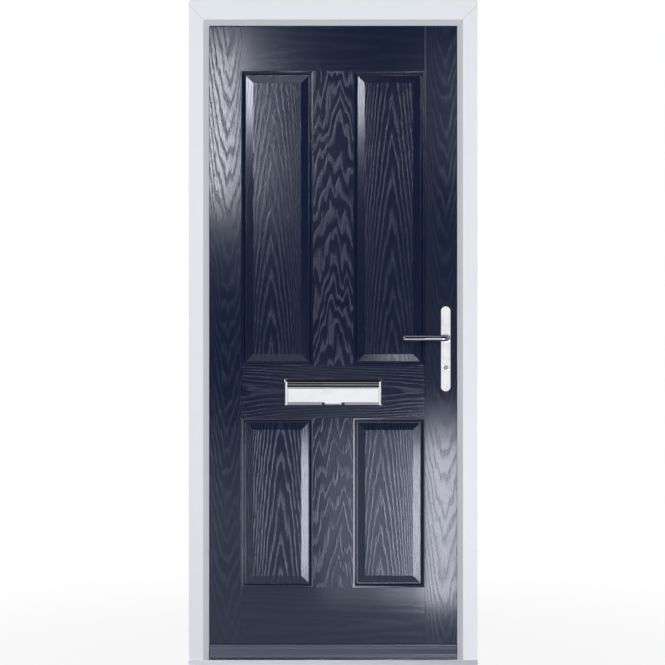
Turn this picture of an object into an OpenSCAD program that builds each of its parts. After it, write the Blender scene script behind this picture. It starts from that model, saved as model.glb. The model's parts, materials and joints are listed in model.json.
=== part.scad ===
// Panelled front door: a pressed-skin composite leaf in a welded hollow-profile frame, with its threshold,
// hinges, multipoint lock, lever handles and letter plate.
// Seen from outside, X runs to the right, Y into the house and Z up. The origin lies under the threshold,
// at the middle of the frame's width and depth. Lengths are in millimetres.

/* [Frame] */
// Width over the frame
frame_w = 900; // [860:1:1000]
// Height from the threshold's underside to the top of the head extension
frame_h = 2100; // [2060:1:2200]
// Depth of the frame's profile
frame_d = 70; // [68:1:76]
// Width of the profile's flat face
flat_w = 45; // [42:1:52]
// Width of the chamfer beside the flat face
chamfer_w = 17; // [14:1:20]
// How far the chamfer falls back from the face
chamfer_d = 13; // [9:0.5:13.5]
// Depth from the face to the rebate
flange_d = 20; // [20:1:23]
// How far the rebate's wall lies behind the flange's edge
rebate_step = 13; // [12:1:14]
// Wall of the frame's profile
wall_t = 3; // [2.6:0.1:3.2]
// Height of the extension strip above the head
extension_h = 28; // [20:1:50]
// Height of the threshold
threshold_h = 30; // [26:1:36]
// How far the threshold's nose stands out of the frame's face
nose_d = 15; // [10:1:25]

/* [Leaf] */
// Thickness of the leaf over both skins
leaf_t = 44; // [42:1:48]
// Gap between the leaf's edge and the rebate's wall
edge_gap = 4; // [3.5:0.1:5]
// Gap between the leaf's outer face and the rebate, which the seal fills
seal_gap = 3.5; // [3:0.1:5]
// Gap between the leaf and the threshold
foot_gap = 4; // [3:0.1:6]
// Thickness of each pressed skin
skin_t = 3; // [2.5:0.1:4]
// Width of the timber stile on the hinge side
hinge_stile_w = 42; // [36:1:60]
// Width of the timber stile that holds the lock
lock_stile_w = 96; // [90:1:104]
// Height of the timber top rail
top_rail_h = 42; // [36:1:60]
// Height of the timber bottom rail
bottom_rail_h = 60; // [45:1:90]

/* [Panels] */
// Width of the plain strip beside the panels
stile_face_w = 109.5; // [100:0.5:125]
// Width of the plain strip between left and right panels
mullion_w = 125; // [100:1:140]
// Height of the plain strip below the lower panels
plinth_h = 218; // [180:1:260]
// Height of the lower panels over their moulding
lower_panel_h = 531; // [400:1:540]
// Height of the plain strip between lower and upper panels
lock_rail_h = 163; // [150:1:200]
// Height of the plain strip above the upper panels
head_rail_h = 149; // [110:1:200]
// Width of the moulding's ogee
ogee_w = 13; // [9:1:16]
// Depth of the groove inside the ogee
groove_d = 9; // [6:0.5:10]
// Width of the groove's flat bottom
groove_w = 2; // [1:0.5:6]
// Width of the bevel up to the raised field
bevel_w = 22; // [14:1:30]
// How far the raised field lies below the leaf's face
field_drop = 2; // [1:0.5:4]

/* [Handles] */
// Height of the lever spindle above the threshold's underside
spindle_z = 1033; // [950:1:1100]
// Distance from the leaf's edge to the spindle
backset = 45; // [40:1:50]
// Width of the handle's backplate
plate_w = 31; // [28:1:36]
// Length of the handle's backplate
plate_len = 266; // [255:1:290]
// Thickness of the backplate at its middle
plate_t = 9; // [7:0.5:12]
// Diameter of the lever's grip
grip_d = 19.5; // [16:0.5:22]
// Length from the spindle to the lever's end
lever_reach = 136; // [110:1:150]
// Distance from the leaf's face to the middle of the grip
lever_stand = 50; // [44:1:60]

/* [Letter plate] */
// Width of the letter plate
letter_w = 305; // [290:1:330]
// Height of the letter plate
letter_h = 82; // [76:1:90]
// Height of the letter plate's middle above the threshold's underside
letter_z = 865; // [850:1:880]
// Width of the opening through the leaf
slot_w = 256; // [230:1:262]
// Height of the opening through the leaf
slot_h = 34; // [28:1:38]

/* [Weather bar] */
// Height of the weather bar
bar_h = 40.5; // [32:0.5:50]
// How far the weather bar stands out of the leaf
bar_d = 19; // [14:0.5:22]

/* [Hidden] */
$fn = 48;
// How far a cut runs past the face it opens
over = 1;
// Clearance between pieces that slide or turn past each other
fit = 0.3;
// Clearance of a fixed piece in its pocket
seat = 0.2;
// Radial clearance of a pin that turns in its bore
pin_fit = 0.08;

// Frame
sight_w = flat_w + chamfer_w;
rebate_p = sight_w - rebate_step;
face_y = -frame_d / 2;
back_y = frame_d / 2;
rebate_y = face_y + flange_d;
side_x = frame_w / 2;
sight_x = side_x - sight_w;
rebate_x = side_x - rebate_p;
head_z = frame_h - extension_h;
sight_z = head_z - sight_w;
rebate_z = head_z - rebate_p;
steel_t = 1.5;
steel_end = 6;
seal_in = 1.5;
seal_w = 6;
rib_pitch = 9;
rib_gap = 2.2;
rib_d = 1.2;
sill_wall = 2.6;
nose_h = 11;
nose_flat = 2;

// Leaf
leaf_x = rebate_x - edge_gap;
leaf_z0 = threshold_h + foot_gap;
leaf_z1 = rebate_z - edge_gap;
leaf_y0 = rebate_y + seal_gap;
leaf_y1 = leaf_y0 + leaf_t;
leaf_mid = leaf_y0 + leaf_t / 2;
core_y0 = leaf_y0 + skin_t;
core_y1 = leaf_y1 - skin_t;
core_x0 = -leaf_x + hinge_stile_w;
core_x1 = leaf_x - lock_stile_w;
core_z0 = leaf_z0 + bottom_rail_h;
core_z1 = leaf_z1 - top_rail_h;
ogee_lip = 1.2;
field_lip = 0.8;
ogee_steps = 6;
panel_w = leaf_x - stile_face_w - mullion_w / 2;
upper_panel_h = leaf_z1 - leaf_z0 - plinth_h - lower_panel_h - lock_rail_h - head_rail_h;
lower_z = leaf_z0 + plinth_h + lower_panel_h / 2;
upper_z = leaf_z1 - head_rail_h - upper_panel_h / 2;
panel_x = (mullion_w + panel_w) / 2;
// Each panel as its middle in X and Z and its height
PANELS = [for (s = [-1, 1]) for (p = [[lower_z, lower_panel_h], [upper_z, upper_panel_h]])
    [s * panel_x, p[0], p[1]]];
bar_nose = 13;
bar_top = 4;
bar_rebate = 2.5;
bar_line = 1.2;
drip_w = 4;
drip_d = 2.5;
bar_end_gap = 2.5;
foot_seal_w = 16;
foot_seal_lip = 5;

// Hinges
knuckle_r = 8;
hinge_x = -(leaf_x + edge_gap / 2);
hinge_y = max(back_y, leaf_y1) + knuckle_r + over;
hinge_pin_d = 9;
hinge_half = 52;
flag_t = 3.5;
flag_w = 40;
flag_gap = 0.3;
hinge_end = 215;
HINGE_Z = [leaf_z0 + hinge_end, (leaf_z0 + leaf_z1) / 2, leaf_z1 - hinge_end];
screw_d = 4.2;
screw_head_d = 8;
screw_head_h = 2.4;
screw_len = 24;
flag_screw_in = 11;
flag_screw_shares = [0.22, 0.78];

// Lock
spindle_x = leaf_x - backset;
strip_w = 20;
strip_t = 3;
strip_foot = 209;
strip_top = 196;
strip_z0 = leaf_z0 + strip_foot;
strip_z1 = leaf_z1 - strip_top;
strip_x = leaf_x - strip_t;
rail_w = 17;
rail_end = 90;
rail_z0 = strip_z0 + rail_end;
rail_z1 = strip_z1 - rail_end;
rail_t = 2;
rail_x1 = strip_x - fit;
rail_x0 = rail_x1 - rail_t;
case_x1 = rail_x0 - fit;
case_d = 66;
case_x0 = case_x1 - case_d;
case_t = 17;
case_wall = 1.5;
case_up = 65;
case_down = 122;
bolt_travel = 20;
latch_travel = 11.5;
latch_rise = 40;
latch_h = 26;
latch_w = 11;
latch_len = 34;
latch_tip = 2;
latch_tail = 8;
dead_drop = 48;
dead_h = 30;
dead_w = 11;
dead_len = 56;
dead_in = 0.5;
hub_d = 24;
hub_neck_d = 15;
hub_arm_w = 6;
hub_arm_r = 20;
lug_t = 6;
lug_gap = 1.3;
lug_low = 14;
hook_end = 170;
hook_in = 22;
hook_w = 8;
hook_arm = 15;
hook_len = 40;
hook_claw = 13;
hook_tip = 12;
hook_case_d = 42;
hook_case_up = 58;
hook_case_down = 24;
hook_pin_d = 6;
HOOK_Z = [strip_z0 + hook_end, strip_z1 - hook_end];
keep_w = 24;
keep_t = 2.5;
keep_room = 2;
keep_end = 16;
strip_screw_in = 14;
strip_screw_next = 44;
STRIP_SCREW_Z = [for (e = [strip_screw_in, strip_screw_next])
    for (z = [strip_z0 + e, strip_z1 - e]) z];
latch_z = spindle_z + latch_rise;
dead_z = spindle_z - dead_drop;
hook_x = leaf_x - hook_in;
hook_case_x0 = case_x1 - hook_case_d;
// How high a hook's claw swings above its pin at a given X
hook_r = norm([hook_len, hook_arm / 2 + hook_claw]);
function hook_high(x) = sqrt(hook_r * hook_r - (x - hook_x) * (x - hook_x));

// Handles
boss_d = 28;
boss_h = 6;
neck_d = 20;
elbow_r = 15;
crown = 2.2;
square_w = 8;
square_fit = 0.08;
square_in = 12;
neck_end = 1;
grub_in = 0.5;
plate_drop = 33;
plate_z = spindle_z - plate_drop;
plate_bolt_span = 215;
plate_bolt_d = 5;
plate_bolt_head_d = 9;
plate_bolt_head_h = 3;
plate_bolt_in = 5;
plate_bolt_len = leaf_t + plate_t + plate_bolt_in;
leaf_bore_d = 24;
grub_d = 5;
square_y0 = leaf_y0 - plate_t - boss_h - square_in;
grub_y = square_y0 + square_in / 2;
PLATE_BOLT_Z = [plate_z - plate_bolt_span / 2, plate_z + plate_bolt_span / 2];
cyl_drop = 92;
cyl_z = spindle_z - cyl_drop;
cyl_d = 17;
cyl_web = 10;
cyl_h = 33;
cyl_proud = 2;
cyl_room = 0.6;
cyl_y0 = leaf_y0 - plate_t - cyl_proud;
cyl_y1 = 2 * leaf_mid - cyl_y0;
plug_d = 13;
cam_r = 15;
cam_w = 9;
cam_tooth_w = 8;
cam_ring_d = 17;
key_w = 2.4;
key_h = 8;
key_d = 12;
turn_w = 26;
turn_h = 16;
turn_t = 12;
turn_neck = 5;
cyl_screw_d = 5;
cyl_screw_drop = 20;
cyl_screw_len = backset + cyl_web / 2;

// Letter plate
base_t = 5;
rim_t = 10;
end_w = 9;
end_proud = 1.5;
top_h = 27;
foot_h = 8.5;
plate_corner = 3;
band_d = 1.6;
band_h = 5;
flap_t = 3;
flap_gap = 1;
flap_knuckle_r = 2.8;
flap_pin_d = 2.5;
flap_steps = 6;
flap_bow = 1.2;
lip_w = 53;
lip_notch = 9;
lip_curl = 4;
flap_y = leaf_y0 - base_t - flap_knuckle_r - fit;
flap_z = letter_z + letter_h / 2 - top_h - flap_knuckle_r - fit;
flap_half = letter_w / 2 - end_w - 2 * flap_gap;
sleeve_t = 1.5;
sleeve_room = 1.5;
letter_bolt_d = 5;
letter_bolt_in = 3.5;
letter_bolt_x = slot_w / 2 + sleeve_t + sleeve_room + letter_bolt_d;
letter_bolt_len = leaf_t + base_t + letter_bolt_in;
letter_pin_half = (letter_w - end_w) / 2;
slot_z = (letter_z - letter_h / 2 + foot_h + flap_z - flap_knuckle_r) / 2;

// Frame fixings
fixing_d = 8.2;
fixing_y = 10;
fixing_outer = 150;
fixing_inner = 720;
FIXING_Z = [fixing_outer, fixing_inner, head_z - fixing_inner, head_z - fixing_outer];

frame_white = [0.92, 0.93, 0.95];
leaf_navy = [0.11, 0.14, 0.24];
chrome_grey = [0.80, 0.81, 0.82];
steel_grey = [0.62, 0.64, 0.66];
rubber_black = [0.06, 0.06, 0.07];
timber_tan = [0.74, 0.58, 0.40];
foam_cream = [0.90, 0.86, 0.70];

// A block between two corners
module block(x0, x1, y0, y1, z0, z1) {
    translate([x0, y0, z0]) cube([x1 - x0, y1 - y0, z1 - z0]);
}

// A YZ outline drawn out along X
module along_x(x0, x1) {
    translate([x0, 0, 0]) rotate([90, 0, 90]) linear_extrude(x1 - x0) children();
}

// An XZ outline drawn out along Y
module along_y(y0, y1) {
    translate([0, y1, 0]) rotate([90, 0, 0]) linear_extrude(y1 - y0) children();
}

// An XY outline drawn out along Z
module along_z(z0, z1) {
    translate([0, 0, z0]) linear_extrude(z1 - z0) children();
}

// A round bar along X, Y or Z
module bar_x(y, z, x0, x1, d) {
    translate([x0, y, z]) rotate([0, 90, 0]) cylinder(d = d, h = x1 - x0);
}
module bar_y(x, z, y0, y1, d) {
    translate([x, y1, z]) rotate([90, 0, 0]) cylinder(d = d, h = y1 - y0);
}
module bar_z(x, y, z0, z1, d) {
    translate([x, y, z0]) cylinder(d = d, h = z1 - z0);
}

// The same piece on the inner face of the leaf
module inside() {
    translate([0, 2 * leaf_mid, 0]) mirror([0, 1, 0]) children();
}

// The same piece on the hinge side of the frame
module hinge_side() {
    mirror([1, 0, 0]) children();
}

// A countersunk bolt that hangs down from the middle of its head's face, and the hole it sits in
module bolt(len, d, head_d, head_h) {
    rotate_extrude() polygon([[0, 0], [head_d / 2, 0], [d / 2, -head_h], [d / 2, -len], [0, -len]]);
}
module bolt_hole(len, d, head_d, head_h) {
    rotate_extrude() polygon([[0, over], [head_d / 2 + seat, over], [head_d / 2 + seat, 0],
        [d / 2 + seat, -head_h], [d / 2 + seat, -len - seat], [0, -len - seat]]);
}
module screw() {
    bolt(screw_len, screw_d, screw_head_d, screw_head_h);
}
module screw_hole() {
    bolt_hole(screw_len, screw_d, screw_head_d, screw_head_h);
}

// Turns a bolt so that it points along -Y, -X or +X
module to_minus_y(x, y, z) {
    translate([x, y, z]) rotate([-90, 0, 0]) children();
}
module to_minus_x(x, y, z) {
    translate([x, y, z]) rotate([0, 90, 0]) children();
}
module to_plus_x(x, y, z) {
    translate([x, y, z]) rotate([0, -90, 0]) children();
}

// Section of the frame: P runs from the outer edge inwards, Y through the depth
module frame_section() {
    difference() {
        polygon([[0, face_y], [flat_w, face_y], [sight_w, face_y + chamfer_d], [sight_w, rebate_y],
            [rebate_p, rebate_y], [rebate_p, back_y], [0, back_y]]);
        polygon([[wall_t, face_y + wall_t], [flat_w, face_y + wall_t],
            [sight_w - wall_t, face_y + chamfer_d + wall_t], [sight_w - wall_t, rebate_y - wall_t],
            [wall_t, rebate_y - wall_t]]);
        translate([wall_t, rebate_y])
            square([rebate_p - 2 * wall_t, frame_d - flange_d - wall_t]);
    }
}

// Section of the steel tube in the frame's main chamber
module steel_section() {
    w = rebate_p - 2 * wall_t - 2 * seat;
    d = frame_d - flange_d - wall_t - 2 * seat;
    translate([wall_t + seat, rebate_y + seat]) difference() {
        square([w, d]);
        translate([steel_t, steel_t]) square([w - 2 * steel_t, d - 2 * steel_t]);
    }
}

// Turns a section into place on the lock jamb or the head
module on_jamb() {
    translate([side_x, 0]) mirror([1, 0]) children();
}
module on_head() {
    translate([0, head_z]) rotate(-90) children();
}

module jamb_blank() {
    intersection() {
        along_z(threshold_h, head_z) on_jamb() frame_section();
        along_y(face_y - over, back_y + over)
            polygon([[side_x + over, threshold_h], [side_x + over, head_z + over],
                [sight_x - over, sight_z - over], [sight_x - over, threshold_h]]);
    }
}

module fixing_holes() {
    for (z = FIXING_Z) bar_x(fixing_y, z, rebate_x - over, side_x + over, fixing_d);
}

// What the bolts, the latch and the hooks need inside the lock jamb
module lock_rooms() {
    block(rebate_x - over, leaf_x + bolt_travel + keep_room,
        leaf_mid - dead_w / 2 - keep_room, leaf_mid + dead_w / 2 + keep_room,
        dead_z - dead_h / 2 - keep_room, dead_z + dead_h / 2 + keep_room);
    block(rebate_x - over, leaf_x + latch_travel + keep_room,
        leaf_mid - latch_w / 2 - keep_room, back_y + over,
        latch_z - latch_h / 2 - keep_room, latch_z + latch_h / 2 + keep_room);
    for (z = HOOK_Z) hook_room(z);
}
module hook_room(z) {
    block(rebate_x - over, hook_x + hook_len + keep_room,
        leaf_mid - hook_w / 2 - keep_room, leaf_mid + hook_w / 2 + keep_room,
        z - hook_arm / 2 - keep_room, z + hook_high(rebate_x) + keep_room);
}

// Keep plates: each as its lowest and highest point
latch_keep_z = [dead_z - dead_h / 2 - keep_room - keep_end, latch_z + latch_h / 2 + keep_room + keep_end];
function hook_keep_z(z) = [z - hook_arm / 2 - keep_room - keep_end,
    z + hook_high(rebate_x) + keep_room + keep_end];
KEEPS = [latch_keep_z, hook_keep_z(HOOK_Z[0]), hook_keep_z(HOOK_Z[1])];
KEEP_SCREW_Z = [for (k = KEEPS) for (z = [k[0] + keep_end / 2, k[1] - keep_end / 2]) z];

module keep_pockets() {
    for (k = KEEPS)
        block(rebate_x - over, rebate_x + keep_t + seat, leaf_mid - keep_w / 2 - seat,
            leaf_mid + keep_w / 2 + seat, k[0] - seat, k[1] + seat);
}
module keep_plate(k) {
    difference() {
        block(rebate_x, rebate_x + keep_t, leaf_mid - keep_w / 2, leaf_mid + keep_w / 2, k[0], k[1]);
        lock_rooms();
        for (z = KEEP_SCREW_Z) to_plus_x(rebate_x, leaf_mid, z) screw_hole();
    }
}

// Frame
module frame_jamb_lock() {
    color(frame_white) difference() {
        jamb_blank();
        fixing_holes();
        keep_pockets();
        lock_rooms();
        for (z = KEEP_SCREW_Z) to_plus_x(rebate_x, leaf_mid, z) screw_hole();
    }
}
module frame_jamb_hinge() {
    color(frame_white) difference() {
        hinge_side() jamb_blank();
        hinge_side() fixing_holes();
        frame_flag_screws() screw_hole();
    }
}
module frame_head() {
    color(frame_white) intersection() {
        along_x(-side_x, side_x) on_head() frame_section();
        along_y(face_y - over, back_y + over)
            polygon([[-side_x - over, head_z + over], [side_x + over, head_z + over],
                [sight_x - over, sight_z - over], [-sight_x + over, sight_z - over]]);
    }
}
module head_extension() {
    chamber_d = (frame_d - 3 * wall_t) / 2;
    color(frame_white) along_x(-side_x, side_x) difference() {
        translate([face_y, head_z]) square([frame_d, extension_h]);
        for (y = [face_y + wall_t, wall_t / 2])
            translate([y, head_z + wall_t]) square([chamber_d, extension_h - 2 * wall_t]);
    }
}
module lock_jamb_steel() {
    color(steel_grey) difference() {
        along_z(threshold_h + steel_end, sight_z) on_jamb() steel_section();
        fixing_holes();
        lock_rooms();
        for (z = KEEP_SCREW_Z) to_plus_x(rebate_x, leaf_mid, z) screw_hole();
    }
}
module hinge_jamb_steel() {
    color(steel_grey) difference() {
        hinge_side() along_z(threshold_h + steel_end, sight_z) on_jamb() steel_section();
        hinge_side() fixing_holes();
        frame_flag_screws() screw_hole();
    }
}
module head_steel() {
    color(steel_grey) along_x(-sight_x, sight_x) on_head() steel_section();
}
module threshold() {
    inner_h = threshold_h - rib_d - 2 * sill_wall;
    chamber_d = (frame_d - 3 * sill_wall) / 2;
    color(chrome_grey) along_x(-side_x, side_x) difference() {
        polygon([[face_y - nose_d, 0], [face_y - nose_d, nose_h], [face_y - nose_flat, threshold_h],
            [back_y - rib_d, threshold_h], [back_y, threshold_h - rib_d], [back_y, 0]]);
        for (y = [face_y + rib_pitch / 2 : rib_pitch : back_y - rib_pitch / 2])
            translate([y, threshold_h - rib_d]) square([rib_gap, rib_d + over]);
        for (y = [face_y + sill_wall, sill_wall / 2])
            translate([y, sill_wall]) square([chamber_d, inner_h]);
    }
}
module frame_seal() {
    in_x = sight_x + seal_in;
    in_z = sight_z + seal_in;
    color(rubber_black) along_y(rebate_y, rebate_y + seal_gap - fit) difference() {
        translate([-in_x - seal_w, threshold_h])
            square([2 * (in_x + seal_w), in_z + seal_w - threshold_h]);
        translate([-in_x, threshold_h - over]) square([2 * in_x, in_z - threshold_h + over]);
    }
}
module latch_keep() {
    color(steel_grey) keep_plate(KEEPS[0]);
}
module lower_hook_keep() {
    color(steel_grey) keep_plate(KEEPS[1]);
}
module upper_hook_keep() {
    color(steel_grey) keep_plate(KEEPS[2]);
}
module frame_screws() {
    color(steel_grey) {
        for (z = KEEP_SCREW_Z) to_plus_x(rebate_x, leaf_mid, z) screw();
        frame_flag_screws() screw();
    }
}

// Hinges: each flag is a plate with half of the knuckle
FLAG_SCREWS = [for (h = HINGE_Z) for (s = flag_screw_shares) for (e = [-1, 1])
    [s * flag_w, h + e * (hinge_half - flag_screw_in)]];
frame_flag_x = hinge_x - knuckle_r - flag_gap - flag_w;
leaf_flag_x = hinge_x + knuckle_r + flag_gap;
module frame_flag_screws() {
    for (p = FLAG_SCREWS) to_minus_y(frame_flag_x + p[0], back_y + flag_t, p[1]) children();
}
module leaf_flag_screws() {
    for (p = FLAG_SCREWS) to_minus_y(leaf_flag_x + p[0], leaf_y1 + flag_t, p[1]) children();
}
module hinge_bore() {
    bar_z(hinge_x, hinge_y, -over, frame_h, hinge_pin_d + 2 * pin_fit);
}
module frame_flag(z) {
    color(frame_white) difference() {
        union() {
            block(frame_flag_x, frame_flag_x + flag_w, back_y, back_y + flag_t,
                z - hinge_half, z + hinge_half);
            block(frame_flag_x + flag_w - over, hinge_x, back_y, hinge_y,
                z - hinge_half, z - flag_gap / 2);
            bar_z(hinge_x, hinge_y, z - hinge_half, z - flag_gap / 2, 2 * knuckle_r);
        }
        hinge_bore();
        frame_flag_screws() screw_hole();
    }
}
module leaf_flag(z) {
    color(frame_white) difference() {
        union() {
            block(leaf_flag_x, leaf_flag_x + flag_w, leaf_y1, leaf_y1 + flag_t,
                z - hinge_half, z + hinge_half);
            block(hinge_x, leaf_flag_x + over, leaf_y1, hinge_y, z + flag_gap / 2, z + hinge_half);
            bar_z(hinge_x, hinge_y, z + flag_gap / 2, z + hinge_half, 2 * knuckle_r);
        }
        hinge_bore();
        leaf_flag_screws() screw_hole();
    }
}
module bottom_hinge_frame_flag() {
    frame_flag(HINGE_Z[0]);
}
module middle_hinge_frame_flag() {
    frame_flag(HINGE_Z[1]);
}
module top_hinge_frame_flag() {
    frame_flag(HINGE_Z[2]);
}
module bottom_hinge_leaf_flag() {
    leaf_flag(HINGE_Z[0]);
}
module middle_hinge_leaf_flag() {
    leaf_flag(HINGE_Z[1]);
}
module top_hinge_leaf_flag() {
    leaf_flag(HINGE_Z[2]);
}
module hinge_pins() {
    color(steel_grey) for (z = HINGE_Z) bar_z(hinge_x, hinge_y, z - hinge_half, z + hinge_half, hinge_pin_d);
}

// Leaf: the moulding's fall from the face, from the panel's edge inwards
OGEE = [for (i = [0 : ogee_steps]) [ogee_w * i / ogee_steps,
    ogee_lip + (groove_d - ogee_lip) * (1 - cos(180 * i / ogee_steps)) / 2]];

// Outlines across a panel of one size: the sunk part, and the raised field left standing in it
module sunk_outline(size) {
    h = size / 2;
    right = [for (p = OGEE) [h - p[0], p[1]]];
    left = [for (i = [len(OGEE) - 1 : -1 : 0]) [OGEE[i][0] - h, OGEE[i][1]]];
    polygon(concat([[h, -over]], right, left, [[-h, -over]]));
}
module field_outline(size) {
    foot = size / 2 - ogee_w - groove_w;
    top = foot - bevel_w;
    polygon([[-foot, groove_d + over], [-foot, groove_d], [-top, field_drop + field_lip],
        [-top, field_drop], [top, field_drop], [top, field_drop + field_lip],
        [foot, groove_d], [foot, groove_d + over]]);
}

// What a panel's moulding takes out of the leaf's face, sunk by a further depth
module panel_relief(p, sink) {
    translate([p[0], leaf_y0 + sink, p[1]]) difference() {
        intersection() {
            along_z(-p[2] / 2, p[2] / 2) sunk_outline(panel_w);
            along_x(-panel_w / 2, panel_w / 2) mirror([1, -1]) sunk_outline(p[2]);
        }
        intersection() {
            along_z(-p[2] / 2, p[2] / 2) field_outline(panel_w);
            along_x(-panel_w / 2, panel_w / 2) mirror([1, -1]) field_outline(p[2]);
        }
    }
}

// Outline of the lock cylinder, made larger all round by a clearance
module cylinder_outline(grow) {
    foot = cyl_h - cyl_d / 2 - cyl_web / 2;
    translate([spindle_x, cyl_z]) {
        circle(d = cyl_d + 2 * grow);
        translate([-cyl_web / 2 - grow, -foot]) square([cyl_web + 2 * grow, foot]);
        translate([0, -foot]) circle(d = cyl_web + 2 * grow);
    }
}

// Everything that passes through the leaf
module leaf_passages() {
    bar_y(spindle_x, spindle_z, leaf_y0 - over, leaf_y1 + over, leaf_bore_d);
    along_y(leaf_y0 - over, leaf_y1 + over) cylinder_outline(cyl_room);
    for (z = PLATE_BOLT_Z) bar_y(spindle_x, z, leaf_y0 - over, leaf_y1 + over, plate_bolt_d + 2 * seat);
    along_y(leaf_y0 - over, leaf_y1 + over) translate([0, slot_z])
        square([slot_w + 2 * (sleeve_t + sleeve_room), slot_h + 2 * (sleeve_t + sleeve_room)], center = true);
    for (s = [-1, 1])
        bar_y(s * letter_bolt_x, slot_z, leaf_y0 - over, leaf_y1 + over, letter_bolt_d + 2 * seat);
}

module skin_sheet() {
    difference() {
        union() {
            block(-leaf_x, leaf_x, leaf_y0, core_y0, leaf_z0, leaf_z1);
            for (p = PANELS) panel_relief(p, skin_t);
        }
        for (p = PANELS) panel_relief(p, 0);
        leaf_passages();
    }
}
module outer_skin() {
    color(leaf_navy) skin_sheet();
}
module inner_skin() {
    color(leaf_navy) difference() {
        inside() skin_sheet();
        leaf_flag_screws() screw_hole();
    }
}
module foam_core() {
    color(foam_cream) difference() {
        block(core_x0, core_x1, core_y0, core_y1, core_z0, core_z1);
        for (p = PANELS) panel_relief(p, skin_t);
        inside() for (p = PANELS) panel_relief(p, skin_t);
        leaf_passages();
    }
}
module hinge_stile() {
    color(timber_tan) difference() {
        block(-leaf_x, core_x0, core_y0, core_y1, leaf_z0, leaf_z1);
        leaf_flag_screws() screw_hole();
    }
}
module top_rail() {
    color(timber_tan) block(core_x0, core_x1, core_y0, core_y1, core_z1, leaf_z1);
}
module bottom_rail() {
    color(timber_tan) block(core_x0, core_x1, core_y0, core_y1, leaf_z0, core_z0);
}
module lock_stile() {
    color(timber_tan) difference() {
        block(core_x1, leaf_x, core_y0, core_y1, leaf_z0, leaf_z1);
        block(strip_x - seat, leaf_x + over, leaf_mid - strip_w / 2 - seat, leaf_mid + strip_w / 2 + seat,
            strip_z0 - seat, strip_z1 + seat);
        block(case_x1 - seat, strip_x + over, leaf_mid - rail_w / 2 - fit, leaf_mid + rail_w / 2 + fit,
            rail_z0 - fit, rail_z1 + bolt_travel + fit);
        case_room(case_x0 - seat, spindle_z - case_down - seat, spindle_z + case_up + seat);
        for (z = HOOK_Z)
            case_room(hook_case_x0 - seat, z - hook_case_down - seat, z + hook_case_up + seat);
        leaf_passages();
        for (z = STRIP_SCREW_Z) to_minus_x(leaf_x, leaf_mid, z) screw_hole();
    }
}
module case_room(x0, z0, z1) {
    block(x0, strip_x, leaf_mid - case_t / 2 - seat, leaf_mid + case_t / 2 + seat, z0, z1);
}
module weather_bar() {
    half = sight_x - bar_end_gap;
    top = leaf_z0 + bar_h;
    nose = leaf_y0 - bar_d;
    color(leaf_navy) along_x(-half, half) difference() {
        polygon([[leaf_y0, leaf_z0], [nose, leaf_z0], [nose, leaf_z0 + bar_nose],
            [nose + bar_line, leaf_z0 + bar_nose + bar_line],
            [leaf_y0 - bar_top, top - bar_rebate - bar_line], [leaf_y0 - bar_top, top], [leaf_y0, top]]);
        translate([nose + drip_w, leaf_z0 - over]) square([drip_w, drip_d + over]);
    }
}
module bottom_seal() {
    color(rubber_black) along_x(-leaf_x + bar_end_gap, leaf_x - bar_end_gap)
        polygon([[leaf_mid - foot_seal_w / 2, leaf_z0], [leaf_mid - foot_seal_lip / 2, threshold_h + fit],
            [leaf_mid + foot_seal_lip / 2, threshold_h + fit], [leaf_mid + foot_seal_w / 2, leaf_z0]]);
}
module leaf_screws() {
    color(steel_grey) {
        leaf_flag_screws() screw();
        for (z = STRIP_SCREW_Z) to_minus_x(leaf_x, leaf_mid, z) screw();
    }
}

// Lock
module slide_slot(x0, x1, half_w, z0, z1) {
    block(x0, x1, leaf_mid - half_w, leaf_mid + half_w, z0, z1);
}

// Slots for the latch, the deadbolt and the hooks in the faceplate, or in the rail that slides behind it
module bolt_slots(x0, x1, lower) {
    slide_slot(x0, x1, latch_w / 2 + fit, latch_z - latch_h / 2 - fit - lower, latch_z + latch_h / 2 + fit);
    slide_slot(x0, x1, dead_w / 2 + fit, dead_z - dead_h / 2 - fit - lower, dead_z + dead_h / 2 + fit);
    for (z = HOOK_Z)
        slide_slot(x0, x1, hook_w / 2 + fit, z - hook_arm / 2 - keep_room - lower,
            z + hook_high(rail_x0) + keep_room);
}
module lock_faceplate() {
    color(chrome_grey) difference() {
        block(strip_x, leaf_x, leaf_mid - strip_w / 2, leaf_mid + strip_w / 2, strip_z0, strip_z1);
        bolt_slots(strip_x - over, leaf_x + over, 0);
        for (z = STRIP_SCREW_Z) to_minus_x(leaf_x, leaf_mid, z) screw_hole();
        to_minus_x(leaf_x, leaf_mid, cyl_z - cyl_screw_drop) cylinder_screw_hole();
    }
}
module drive_rail() {
    color(steel_grey) difference() {
        block(rail_x0, rail_x1, leaf_mid - rail_w / 2, leaf_mid + rail_w / 2, rail_z0, rail_z1);
        bolt_slots(rail_x0 - over, rail_x1 + over, bolt_travel);
        slide_slot(rail_x0 - over, rail_x1 + over, screw_head_d / 2 + fit,
            cyl_z - cyl_screw_drop - screw_head_d / 2 - fit - bolt_travel,
            cyl_z - cyl_screw_drop + screw_head_d / 2 + fit);
    }
}

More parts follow.
